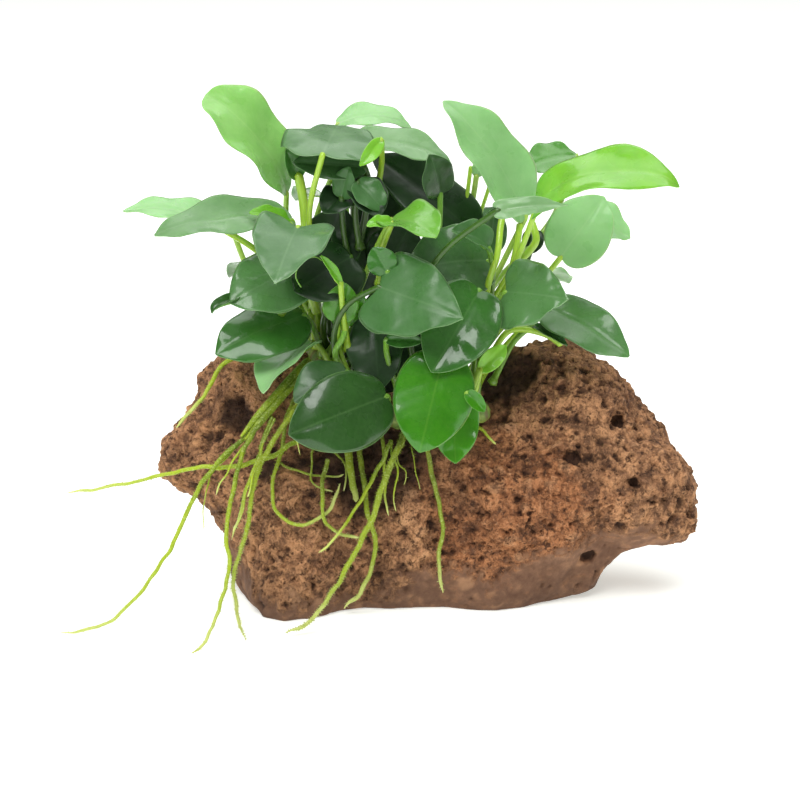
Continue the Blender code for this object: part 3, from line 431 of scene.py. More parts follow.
# Larger pits in front: x, y, z, long and short radius and depth in mm, and slant in degrees.
PITS = (
    (48, -9, 46, 2.4, 2.0, 2.2, 90), (36, -18, 39, 3.2, 1.8, 2.0, -10), (52, -20, 33, 3.0, 1.3, 1.8, -40),
    (24, -17, 39, 1.3, 1.0, 1.5, 60), (29, -18, 38, 1.6, 1.3, 1.4, 80), (20, -12, 47, 2.0, 1.0, 1.2, 0),
    (12, -23, 37, 1.6, 1.1, 1.4, -60), (22, -24, 30, 1.2, 1.0, 1.5, 20), (12, -24, 26, 1.7, 0.9, 1.4, -10),
    (6, -23, 23, 1.3, 0.9, 1.2, 60), (25, -27, 25, 1.3, 0.8, 1.2, 0), (31, -23, 23, 1.3, 0.7, 1.2, 0),
    (37, -23, 23, 2.3, 0.8, 1.2, 15), (41, -14, 12, 2.4, 1.5, 1.4, 20), (44, -10, 57, 1.9, 1.0, 1.5, 70),
    (39, -8, 60, 2.7, 1.1, 1.6, -15), (28, -11, 53, 1.5, 0.9, 1.2, -10), (68, -12, 24, 1.4, 0.8, 1.0, 90),
    (57, -19, 20, 1.0, 0.8, 1.0, 0), (59, -20, 22, 1.0, 0.8, 1.0, 30), (34, -15, 49, 1.3, 1.0, 1.2, 10),
    (40, -15, 48, 1.4, 1.0, 1.2, -30), (38, -17, 46, 1.6, 1.0, 1.2, 20), (51, -22, 28, 0.9, 0.7, 0.9, 0),
    (49, -21, 25, 0.9, 0.7, 0.9, 0), (46, -21, 27, 0.8, 0.7, 0.9, 0), (-55, -7, 42, 2.3, 1.6, 1.6, 40),
    (-48, -4, 50, 2.2, 1.5, 1.6, 10), (-59, -8, 39, 1.2, 0.9, 1.0, 0), (-58, -10, 32, 1.4, 0.8, 1.0, 0),
    (-43, -27, 12, 1.0, 0.8, 0.9, 0), (-41, -30, 10, 1.1, 0.8, 0.9, 40), (-45, -27, 6, 0.9, 0.7, 0.8, 0),
    (-37, -29, 14, 1.0, 0.7, 0.8, 0), (-39, -31, 7, 0.9, 0.7, 0.8, 0), (-49, -13, 4, 0.9, 0.7, 0.8, 0),
    (-43, -23, 19, 1.2, 0.8, 1.0, 60), (-33, -29, 16, 1.0, 0.8, 0.9, 0), (-25, -27, 18, 1.3, 0.8, 1.0, 30),
    (-20, -24, 14, 1.0, 0.8, 0.9, 0), (-7, -25, 21, 1.6, 1.0, 1.2, -20), (-9, -25, 16, 1.2, 0.8, 1.0, 0),
    (-3, -25, 26, 1.2, 0.9, 1.0, 50), (0, -24, 17, 1.2, 0.8, 1.0, 0), (4, -23, 15, 1.0, 0.8, 1.0, 0),
    (13, -24, 18, 1.1, 0.7, 1.0, 10), (19, -26, 20, 1.4, 0.8, 1.0, -45), (23, -25, 16, 1.1, 0.7, 1.0, 0),
    (10, -23, 18, 1.0, 0.8, 1.0, 0), (17, -23, 35, 1.2, 0.9, 1.1, 0), (28, -21, 32, 1.1, 0.8, 1.0, 0),
    (32, -21, 30, 1.2, 0.8, 1.0, 0), (43, -22, 34, 1.6, 1.0, 1.1, -60), (44, -19, 40, 1.3, 0.9, 1.1, 30),
    (42, -22, 29, 1.1, 0.8, 1.0, 0), (33, -11, 56, 1.6, 1.0, 1.2, 20), (30, -6, 61, 1.5, 1.0, 1.2, 0),
    (54, -10, 42, 1.4, 1.0, 1.1, 50), (57, -16, 37, 1.5, 0.9, 1.1, 60), (60, -19, 31, 1.2, 0.9, 1.0, 0),
    (45, -12, 52, 1.3, 1.0, 1.1, 0), (37, -14, 55, 1.4, 0.9, 1.1, -20),
)

# Studio in m: brightness of the room, and softboxes with place, size and power.
WORLD_LIGHT = 0.5
WORLD_GLOSS = 0.15
SOFTBOXES = (
    ("key", (-0.25, -0.66, 1.08), (0.9, 0.55), 11.0),
    ("top", (0.10, 0.50, 1.30), (1.6, 1.2), 12.0),
)
LIGHT_TARGET = (0.0, 0.0, 0.07)
FLOOR_SIZE = 30.0
FLOOR_COLOUR = (0.86, 0.88, 0.85)
FLOOR_GLOW = 0.45
FLOOR_GLOW_COLOUR = (0.97, 1.0, 0.95)
# Camera: lens and sensor in mm, rise in degrees, and the point it looks at in mm.
LENS = 112.5
SENSOR_WIDTH = 36.0
CLIP_RANGE = (0.01, 50.0)
CAMERA_RISE = 14.0
CAMERA_TARGET = (-7.8, 0.0, 49.8)
CAMERA_DISTANCE = 650 * MM

# Noises of the materials: size, detail and roughness.
LEAF_CLOUDS = (7 * MM, 5.0, 0.55)
LEAF_SPECKS = (0.9 * MM, 3.0, 0.6)
LEAF_BENDS = (6 * MM, 2.0, 0.5)
LEAF_WEAR = (6 * MM, 3.0, 0.5)
LEAF_RIPPLES = (2.2 * MM, 2.0, 0.5)
STALK_STREAKS = (1.1 * MM, 3.0, 0.6)
ROOT_PATCHES = (4 * MM, 4.0, 0.6)
ROOT_GRAIN = (0.45 * MM, 3.0, 0.6)
STEM_PATCHES = (3 * MM, 4.0, 0.6)
STEM_GRAIN = (0.6 * MM, 4.0, 0.6)
STONE_BROAD = (18 * MM, 5.0, 0.6)
STONE_PATCHES = (4.0 * MM, 6.0, 0.7)
STONE_CRUMBS = (1.9 * MM, 6.0, 0.72)
STONE_GRAIN = (0.7 * MM, 6.0, 0.78)
# Cells of the stone: size and push. The push comes from a noise of that scale.
STONE_CELLS = (1.5 * MM, 3.0 * MM)
STONE_SPECKS = (0.62 * MM, 0.6 * MM)
WARP_SCALE = 0.7
# Side ribs of the blades: bend, share of the blade's length from one to the next, and slant.
RIB_BEND = 0.8
RIB_EVERY = 0.13
RIB_RUN = 4.2 * MM
# Colours of the leaves' undersides, of roots near the stem and further on, of stem and stone.
LEAF_BELOW = (0.20, 0.40, 0.14)
ROOT_NEAR = ((0.11, 0.18, 0.006), (0.25, 0.35, 0.014))
ROOT_FAR = ((0.40, 0.52, 0.020), (0.15, 0.20, 0.020))
ROOT_DULL_AND_SHADE = (0.24, 0.24, 0.035)
ROOT_TIP = (0.66, 0.70, 0.24)
ROOT_FLECKS = (0.66, 0.76, 0.30)
STEM_GREENS = ((0.10, 0.17, 0.03), (0.26, 0.34, 0.06))
STEM_SCARS = (0.13, 0.075, 0.03)
BROWNS = ((0.27, 0.125, 0.060), (0.66, 0.330, 0.155))
ORANGES = ((0.28, 0.104, 0.040), (0.60, 0.250, 0.105))
SKIN_TONES = ((0.20, 0.100, 0.058), (0.31, 0.165, 0.097))
# Painted light on the stone: highlights on crests and raised grains, shade in relief hollows, creases, pores
# and near the table.
STONE_CREST_HIGHLIGHT = (0.80, 0.43, 0.22)
STONE_RELIEF_SHADE = (0.10, 0.045, 0.026)
STONE_GRAIN_HIGHLIGHT = (0.84, 0.47, 0.26)
STONE_CREASE_SHADE = (0.055, 0.024, 0.015)
STONE_FLOOR_SHADE = (0.055, 0.026, 0.016)
STONE_PORE_SHADE = (0.03, 0.014, 0.010)

# Slot of a leaf by its age, and of a bare stalk by its tone.
SLOTS = {"old": "leaf_dark", "deep": "leaf_dark", "satin": "leaf_dark",
         "mid": "leaf_green", "pale": "leaf_green",
         "young": "leaf_bright", "lime": "leaf_bright", "fresh": "leaf_bright"}
# Leaf skins: deep and light green, vein colour, glow of light coming through, roughness,
# and weight and roughness of the wet coat.
LEAF_TONES = {
    # The deep skin is painted shade: a near-black copy for leaves that lie in the plant's shade.
    "deep": ((0.002, 0.013, 0.002), (0.010, 0.050, 0.006), (0.07, 0.16, 0.05), 0.02, 0.40, (0.18, 0.12)),
    "old": ((0.009, 0.050, 0.004), (0.028, 0.140, 0.013), (0.20, 0.38, 0.13), 0.04, 0.24, (0.8, 0.03)),
    "dark": ((0.004, 0.026, 0.002), (0.014, 0.070, 0.006), (0.20, 0.38, 0.13), 0.03, 0.24, (0.7, 0.03)),
    "satin": ((0.006, 0.036, 0.004), (0.043, 0.145, 0.031), (0.24, 0.42, 0.18), 0.05, 0.38, (0.3, 0.2)),
    "dusk": ((0.013, 0.064, 0.009), (0.068, 0.190, 0.048), (0.30, 0.48, 0.24), 0.08, 0.30, (0.5, 0.06)),
    # The slate skin is a paler grey-green, partly a painted sheen.
    "slate": ((0.050, 0.140, 0.045), (0.120, 0.240, 0.100), (0.34, 0.52, 0.28), 0.10, 0.34, (0.3, 0.15)),
    "mid": ((0.028, 0.140, 0.014), (0.085, 0.270, 0.040), (0.32, 0.52, 0.22), 0.15, 0.26, (0.6, 0.04)),
    # The sage skin is a paler grey-green, partly a painted sheen.
    "sage": ((0.080, 0.210, 0.060), (0.190, 0.360, 0.150), (0.36, 0.54, 0.28), 0.15, 0.36, (0.3, 0.15)),
    "pale": ((0.140, 0.350, 0.100), (0.270, 0.520, 0.210), (0.46, 0.66, 0.32), 0.25, 0.36, (0.3, 0.10)),
    "crown": ((0.150, 0.400, 0.060), (0.320, 0.600, 0.180), (0.52, 0.76, 0.32), 0.28, 0.34, (0.4, 0.08)),
    "young": ((0.100, 0.350, 0.012), (0.220, 0.530, 0.030), (0.42, 0.72, 0.15), 0.24, 0.28, (0.5, 0.05)),
    "lime": ((0.050, 0.220, 0.008), (0.125, 0.365, 0.028), (0.36, 0.62, 0.15), 0.15, 0.30, (0.5, 0.05)),
    "fresh": ((0.014, 0.130, 0.001), (0.042, 0.245, 0.003), (0.24, 0.50, 0.06), 0.08, 0.22, (0.8, 0.03)),
}
# Stalks: colour near the stem and near the blade.
STALK_TONES = {
    # The deep stalk is painted shade: dark green as if in shadow.
    "deep": ((0.03, 0.07, 0.006), (0.04, 0.11, 0.010)),
    "dark": ((0.12, 0.22, 0.02), (0.16, 0.36, 0.04)),
    "old": ((0.12, 0.22, 0.02), (0.16, 0.36, 0.04)),
    "satin": ((0.10, 0.20, 0.02), (0.15, 0.33, 0.04)),
    "mid": ((0.18, 0.34, 0.02), (0.27, 0.48, 0.05)),
    "dusk": ((0.14, 0.26, 0.02), (0.20, 0.40, 0.04)),
    "sage": ((0.18, 0.34, 0.02), (0.27, 0.48, 0.05)),
    "pale": ((0.24, 0.40, 0.04), (0.34, 0.54, 0.08)),
    "crown": ((0.26, 0.44, 0.03), (0.36, 0.60, 0.07)),
    "young": ((0.25, 0.42, 0.02), (0.36, 0.59, 0.05)),
    "lime": ((0.22, 0.40, 0.02), (0.30, 0.52, 0.04)),
    "fresh": ((0.20, 0.36, 0.02), (0.24, 0.46, 0.04)),
}
# Leaves whose stalk differs from their skin's tone.
OWN_STALKS = {
    # Deep stalks are painted shade.
    "deep": ("leaf_centre_large", "leaf_grey_low", "leaf_grey_small", "leaf_pale_lip", "leaf_under_top"),
    "young": ("leaf_left_heart", "leaf_right_low", "leaf_right_round", "leaf_top_left"),
    "mid": ("leaf_small_bright",),
    "old": ("leaf_top_small",),
}
# Leaves whose skin differs from that of their age.
OWN_TONES = {
    "fresh": ("leaf_front_bright", "leaf_front_under", "leaf_inner_bright"),
    "dark": ("leaf_front_left",),
    "satin": ("leaf_front_left_behind", "leaf_centre_large", "leaf_top_small"),
    "pale": ("leaf_tall_right", "leaf_right_round", "leaf_back_right"),
    "crown": ("leaf_crown_left",),
    "dusk": ("leaf_centre_glossy", "leaf_left_hook", "leaf_right_low", "leaf_right_glossy"),
    # Slate skins partly paint the grey sheen of these leaves.
    "slate": ("leaf_left_heart", "leaf_top_left"),
    "lime": ("leaf_small_bright",),
    # Sage skins partly paint the grey sheen of these leaves.
    "sage": ("leaf_wing_left", "leaf_top_mid", "leaf_pale_lip"),
    "mid": ("leaf_light_back",),
    # Leaves in the plant's shade wear the deep skin, painted shade.
    "deep": ("leaf_left_dark", "leaf_crown_dark", "leaf_core_dark", "leaf_core_upper",
             "leaf_inner_upper", "leaf_inner_left", "leaf_top_under", "leaf_centre_dark",
             "leaf_centre_fill"),
}
# Every material by its short name.
PAINTS = {}


def smooth_step(value):
    """A soft rise from 0 to 1."""
    value = min(1.0, max(0.0, value))
    return value * value * (3.0 - 2.0 * value)


def bezier(start, start_handle, end_handle, end, share):
    """The point at that share of a cubic Bezier, and its direction there."""
    rest = 1.0 - share
    point = (start * rest ** 3 + start_handle * 3 * rest ** 2 * share
             + end_handle * 3 * rest * share ** 2 + end * share ** 3)
    slope = ((start_handle - start) * rest ** 2 + (end_handle - start_handle) * 2 * rest * share
             + (end - end_handle) * share ** 2)
    return point, slope.normalized()


def smooth_path(points, step):
    """Points about a step apart on a smooth curve through the given points."""
    path = []
    last = len(points) - 1
    for index in range(last):
        before = points[max(index - 1, 0)]
        here = points[index]
        there = points[index + 1]
        after = points[min(index + 2, last)]
        start_handle = here + (there - before) / 6.0
        end_handle = there - (after - here) / 6.0
        pieces = max(1, round((there - here).length / step))
        for piece in range(pieces):
            path.append(bezier(here, start_handle, end_handle, there, piece / pieces)[0])
    path.append(points[last].copy())
    return path


def path_through(points, step):
    """A smooth path through points given in mm."""
    return smooth_path([Vector(point) * MM for point in points], step)


def heading(path, index):
    """The direction of the path at one of its points."""
    return (path[min(index + 1, len(path) - 1)] - path[max(index - 1, 0)]).normalized()


def add_marks(mesh, marks):
    """Lay the marks on the mesh, each with one number per point."""
    for mark, values in marks.items():
        layer = mesh.attributes.new(mark, "FLOAT", "POINT")
        layer.data.foreach_set("value", values)


def place_piece(name, mesh, stands_for=()):
    """Put the mesh in the scene as a piece of the object."""
    piece = bpy.data.objects.new(name, mesh)
    bpy.context.scene.collection.objects.link(piece)
    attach(piece, "root")
    if stands_for:
        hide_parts(*stands_for)
    return piece


class Shell:
    """Points, faces and per-point marks of a mesh in the making."""

    MARKS = ("along", "middle", "edge", "shade", "under")

    def __init__(self, shade):
        self.points = []
        self.faces = []
        self.paints = []
        self.marks = {name: [] for name in self.MARKS}
        self.shade = shade

    def point(self, place, along=0.0, middle=0.0, edge=1.0, under=0.0):
        """Add a point and return its number."""
        self.points.append(place)
        for name, value in zip(self.MARKS, (along, middle, edge, self.shade, under)):
            self.marks[name].append(value)
        return len(self.points) - 1

    def face(self, corners, paint=0):
        """Add a face over point numbers with that material."""
        self.faces.append(corners)
        self.paints.append(paint)

    def ring(self, place, radius, ahead, across, sides, along):
        """Add a ring of points about the place and return their numbers."""
        above = ahead.cross(across)
        numbers = []
        for side in range(sides):
            turn = math.tau * side / sides
            spoke = across * math.cos(turn) + above * math.sin(turn)
            numbers.append(self.point(place + spoke * radius, along))
        return numbers

    def tube(self, path, radii, sides, paint=0):
        """Add a closed tube along the path; marks run from its start to its end."""
        direction = (path[1] - path[0]).normalized()
        across = direction.orthogonal().normalized()
        rings = []
        for index, (place, radius) in enumerate(zip(path, radii)):
            ahead = heading(path, index)
            across = direction.rotation_difference(ahead) @ across
            across = (across - ahead * across.dot(ahead)).normalized()
            direction = ahead
            rings.append(self.ring(place, radius, ahead, across, sides, index / (len(path) - 1)))
        start = self.point(path[0] - (path[1] - path[0]).normalized() * radii[0] * START_DOME)
        end = self.point(path[-1] + direction * radii[-1] * END_DOME, 1.0)
        afters = [(side + 1) % sides for side in range(sides)]
        for first, second in zip(rings, rings[1:]):
            for side, after in enumerate(afters):
                self.face((first[side], first[after], second[after], second[side]), paint)
        for side, after in enumerate(afters):
            self.face((start, rings[0][after], rings[0][side]), paint)
            self.face((end, rings[-1][side], rings[-1][after]), paint)

    def piece(self, name, paints, slot, stands_for=()):
        """The finished mesh as a piece that rides on the body."""
        mesh = bpy.data.meshes.new(name)
        mesh.from_pydata([tuple(point) for point in self.points], [], self.faces)
        add_marks(mesh, self.marks)
        for paint in paints:
            mesh.materials.append(PAINTS[paint])
        mesh.polygons.foreach_set("material_index", self.paints)
        mesh.shade_smooth()
        return place_piece(name, mesh, stands_for)


class Paint:
    """Short ways to build the nodes of one material."""

    def __init__(self, name):
        self.material = bpy.data.materials.new(name)
        self.material.use_nodes = True
        self.tree = self.material.node_tree
        self.shader = self.tree.nodes["Principled BSDF"]
        self.place = self.node("TexCoord", "Object", {})

    def feed(self, socket, value):
        """Link an output to the socket, or set its value."""
        if isinstance(value, bpy.types.NodeSocket):
            self.tree.links.new(value, socket)
        elif socket.type == "RGBA":
            socket.default_value = (*value, 1.0)
        else:
            socket.default_value = value

    def set(self, **values):
        """Set or link sockets of the Principled shader, spaces written as _."""
        for name, value in values.items():
            self.feed(self.shader.inputs[name.replace("_", " ")], value)

    def node(self, kind, output, inputs, **settings):
        """An output of a new node with those settings and inputs."""
        node = self.tree.nodes.new("ShaderNode" + kind)
        for name, value in settings.items():
            setattr(node, name, value)
        for name, value in inputs.items():
            self.feed(node.inputs[name], value)
        return node.outputs[output]

    def mark(self, name):
        """A mark that the mesh carries on its points."""
        return self.node("Attribute", "Fac", {}, attribute_name=name)

    def noise(self, size, detail, roughness, stretch=None):
        """Cloudy noise with features of that size, its places scaled along each axis if asked."""
        place = self.place
        if stretch:
            place = self.node("Mapping", "Vector", {"Vector": place, "Scale": stretch})
        inputs = {"Vector": place, "Scale": 1.0 / size, "Detail": detail, "Roughness": roughness}
        return self.node("TexNoise", "Fac", inputs)

    def cells(self, size, warp):
        """Distance to the centres of cells of that size, their places pushed by up to the warp."""
        push = self.node("TexNoise", "Color", {"Vector": self.place, "Scale": WARP_SCALE / size})
        spots = {0: push, 1: (warp, warp, warp), 2: self.place}
        place = self.node("VectorMath", 0, spots, operation="MULTIPLY_ADD")
        return self.node("TexVoronoi", "Distance", {"Vector": place, "Scale": 1.0 / size})

    def sum(self, operation, *values):
        """The result of the named operation on numbers."""
        return self.node("Math", 0, dict(enumerate(values)), operation=operation)

    def times(self, first, second):
        """The product of two numbers."""
        return self.sum("MULTIPLY", first, second)

    def plus(self, first, second):
        """The sum of two numbers."""
        return self.sum("ADD", first, second)

    def range(self, value, low, high, to_low=0.0, to_high=1.0):
        """The value moved from one range to another, with soft ends."""
        inputs = {"Value": value, "From Min": low, "From Max": high, "To Min": to_low, "To Max": to_high}
        return self.node("MapRange", "Result", inputs, interpolation_type="SMOOTHSTEP")

    def mix(self, share, first, second):
        """A mix of two colours."""
        return self.node("Mix", "Result", {"Factor": share, "A": first, "B": second}, data_type="RGBA")

    def layers(self, colour, *rows):
        """The colour with others laid over it, each by its own share."""
        for share, over in rows:
            colour = self.mix(share, colour, over)
        return colour

    def bump(self, height, depth, strength, under=None):
        """A bump of that depth in metres, on top of another bump."""
        inputs = {"Height": height, "Distance": depth, "Strength": strength}
        if under is not None:
            inputs["Normal"] = under
        return self.node("Bump", "Normal", inputs)


def leaf_ribs(paint):
    """Slanted side ribs, drawn from the marks along and across the blade."""
    bend = paint.times(paint.noise(*LEAF_BENDS), RIB_BEND)
    along = paint.sum("DIVIDE", paint.mark("along"), RIB_EVERY)
    rib = paint.sum("SUBTRACT", along, paint.sum("DIVIDE", paint.mark("middle"), RIB_RUN))
    rib = paint.sum("FRACT", paint.plus(rib, bend))
    rib = paint.sum("ABSOLUTE", paint.sum("SUBTRACT", rib, 0.5))
    return paint.range(rib, 0.05, 0.0)


def leaf_paint(name, deep, light, vein, glow, gloss, coat):
    """Waxy leaf skin: cloudy green, paler veins and margin, duller and paler below."""
    paint = Paint(name)
    under = paint.mark("under")
    fine = paint.noise(*LEAF_SPECKS)
    ribs = leaf_ribs(paint)
    tone = paint.plus(paint.times(paint.noise(*LEAF_CLOUDS), 0.7), paint.times(paint.mark("shade"), 0.6))
    colour = paint.layers(
        paint.mix(paint.range(tone, 0.2, 1.0), deep, light),
        (paint.times(fine, 0.12), vein),
        (paint.times(ribs, 0.03), vein),
        (paint.times(paint.range(paint.mark("middle"), 0.36 * MM, 0.08 * MM), 0.10), vein),
        (paint.times(paint.range(paint.mark("edge"), 0.26 * MM, 0.05 * MM), 0.6), vein))
    rough = paint.range(paint.noise(*LEAF_WEAR), 0.3, 0.7, gloss * 0.6, gloss * 1.5)
    rough = paint.plus(rough, paint.times(under, 0.18))
    paint.set(Base_Color=paint.mix(under, colour, paint.mix(0.35, colour, LEAF_BELOW)))
    paint.set(Roughness=rough, Subsurface_Weight=glow, Subsurface_Scale=1.2 * MM, Specular_IOR_Level=0.35)
    paint.set(Subsurface_Radius=(0.5, 1.0, 0.25), Coat_Weight=coat[0], Coat_Roughness=coat[1], Coat_IOR=1.36)
    normal = paint.bump(ribs, 0.02 * MM, 0.25)
    normal = paint.bump(paint.noise(*LEAF_RIPPLES), 0.10 * MM, 0.5, normal)
    paint.set(Normal=paint.bump(fine, 0.02 * MM, 0.4, normal))
    return paint.material


def stalk_paint(name, low, high):
    """Smooth juicy stalk, paler streaks along it."""
    paint = Paint(name)
    streaks = paint.noise(*STALK_STREAKS, stretch=(2.4, 2.4, 0.35))
    streak = [min(0.8, 2.0 * value + 0.02) for value in high]
    colour = paint.mix(paint.range(paint.mark("along"), 0.0, 0.8), low, high)
    colour = paint.mix(paint.range(streaks, 0.45, 0.75, 0.0, 0.35), colour, streak)
    paint.set(Base_Color=colour, Roughness=0.3, Subsurface_Weight=0.25, Subsurface_Scale=1.5 * MM)
    paint.set(Subsurface_Radius=(0.7, 1.0, 0.2), Coat_Weight=0.25, Coat_Roughness=0.1)
    paint.set(Normal=paint.bump(streaks, 0.08 * MM, 0.5))
    return paint.material


def root_paint(name):
    """Fleshy roots, green near the stem and fading to pale tips."""
    paint = Paint(name)
    shade = paint.mark("shade")
    patches = paint.noise(*ROOT_PATCHES)
    grain = paint.noise(*ROOT_GRAIN)
    aged = paint.plus(paint.mark("along"), paint.times(patches, 0.3))
    colour = paint.layers(
        paint.mix(paint.range(patches, 0.35, 0.7), *ROOT_NEAR),
        # The shade mark dulls and darkens the colour: painted shade on the shaded roots, a random dullness on
        # the rest.
        (paint.times(shade, 0.5), ROOT_DULL_AND_SHADE),
        (paint.range(aged, 0.25, 0.7), paint.mix(paint.times(shade, 0.8), *ROOT_FAR)),
        (paint.range(aged, 0.8, 1.25), ROOT_TIP),
        (paint.range(grain, 0.48, 0.72, 0.0, 0.45), ROOT_FLECKS))
    paint.set(Base_Color=colour, Roughness=0.5, Subsurface_Weight=0.2, Subsurface_Scale=1.0 * MM)
    paint.set(Subsurface_Radius=(0.8, 1.0, 0.2), Specular_IOR_Level=0.3)
    paint.set(Normal=paint.bump(grain, 0.12 * MM, 0.7))
    return paint.material


def stem_paint(name):
    """Ringed creeping stem, brown scars on green."""
    paint = Paint(name)
    colour = paint.mix(paint.range(paint.noise(*STEM_PATCHES), 0.35, 0.7), *STEM_GREENS)
    colour = paint.mix(paint.range(paint.mark("edge"), 0.5, 1.0, 0.0, 0.7), colour, STEM_SCARS)
    paint.set(Base_Color=colour, Roughness=0.5)
    paint.set(Normal=paint.bump(paint.noise(*STEM_GRAIN), 0.2 * MM, 0.6))
    return paint.material


def stone_rock(paint, patches, open_crust):
    """Brown rock, orange where it is warm, and dull under the smooth skin."""
    broad = paint.range(paint.noise(*STONE_BROAD), 0.4, 0.7, -0.15, 0.35)
    warm = paint.range(paint.plus(paint.mark("warmth"), broad), 0.15, 0.85)
    tone = paint.range(patches, 0.34, 0.66)
    rock = paint.mix(warm, paint.mix(tone, *BROWNS), paint.mix(tone, *ORANGES))
    return paint.mix(open_crust, paint.mix(paint.range(patches, 0.3, 0.7), *SKIN_TONES), rock)


def stone_crease_shade(paint, patches, crumbs, grain):
    """Painted shade between the crumbs and grains and in tiny holes."""
    gaps = paint.range(crumbs, 0.46, 0.36, 0.0, 0.85)
    fine_gaps = paint.range(grain, 0.46, 0.32, 0.0, 0.6)
    crease = paint.range(paint.cells(*STONE_CELLS), 0.5, 0.8)
    crease = paint.times(crease, paint.range(patches, 0.6, 0.4, 0.1, 0.6))
    specks = paint.range(paint.cells(*STONE_SPECKS), 0.22, 0.12, 0.0, 0.6)
    for other in (fine_gaps, crease, specks):
        gaps = paint.sum("MAXIMUM", gaps, other)
    return gaps


def stone_paint(name):
    """Red-brown lava: orange crust, a duller skin low down, painted shade in pores, creases, hollows and near
    the table, painted highlights on crests and grains.
    """
    paint = Paint(name)
    height = paint.mark("height")
    patches = paint.noise(*STONE_PATCHES)
    crumbs = paint.noise(*STONE_CRUMBS)
    grain = paint.noise(*STONE_GRAIN)
    edge = paint.plus(paint.mark("crust"), paint.range(patches, 0.3, 0.7, -0.4, 0.4))
    open_crust = paint.range(edge, 0.15, 0.85)
    crumbly = paint.range(open_crust, 0.0, 1.0, 0.12, 1.0)
    # Painted shade in the creases, stronger where the crust is open.
    dark = paint.times(stone_crease_shade(paint, patches, crumbs, grain), crumbly)
    colour = paint.layers(
        stone_rock(paint, patches, open_crust),
        # Painted highlight on the relief's crests and painted shade in its hollows.
        (paint.range(height, -0.1, 0.5, 0.0, 0.4), STONE_CREST_HIGHLIGHT),
        (paint.range(height, -0.1, -0.6, 0.0, 0.5), STONE_RELIEF_SHADE),
        # Painted highlight on the raised grains.
        (paint.times(paint.range(grain, 0.52, 0.70, 0.0, 0.5), crumbly), STONE_GRAIN_HIGHLIGHT),
        # Painted shade between the crumbs and grains.
        (dark, STONE_CREASE_SHADE),
        # Painted shade near the table.
        (paint.range(paint.mark("low"), 0.0, 1.0, 0.0, 0.4), STONE_FLOOR_SHADE),
        # Painted shade in the pores, darker the deeper they go.
        (paint.range(paint.mark("pore_shade"), 0.3, 1.1, 0.0, 0.88), STONE_PORE_SHADE))
    relief = paint.sum("SUBTRACT", paint.plus(crumbs, paint.times(grain, 0.6)), dark)
    relief = paint.times(relief, paint.range(open_crust, 0.0, 1.0, 0.35, 1.0))
    paint.set(Base_Color=colour, Roughness=paint.range(patches, 0.3, 0.7, 0.75, 0.95))
    paint.set(Specular_IOR_Level=0.3, Normal=paint.bump(relief, 0.8 * MM, 0.9))
    return paint.material


def solid_corners(name):
    """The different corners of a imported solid."""
    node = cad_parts[name]
    seen = {}
    for vertex in node.data.vertices:
        place = node.matrix_world @ vertex.co
        seen[tuple(round(value / SAME_PLACE) for value in place)] = place
    return list(seen.values())


def tree_of(points):
    """A search tree of points."""
    tree = KDTree(len(points))
    for index, point in enumerate(points):
        tree.insert(point, index)
    tree.balance()
    return tree


def listed(table, name, usual):
    """The key that the table lists the name under, or the usual one."""
    for key, names in table.items():
        if name in names:
            return key
    return usual


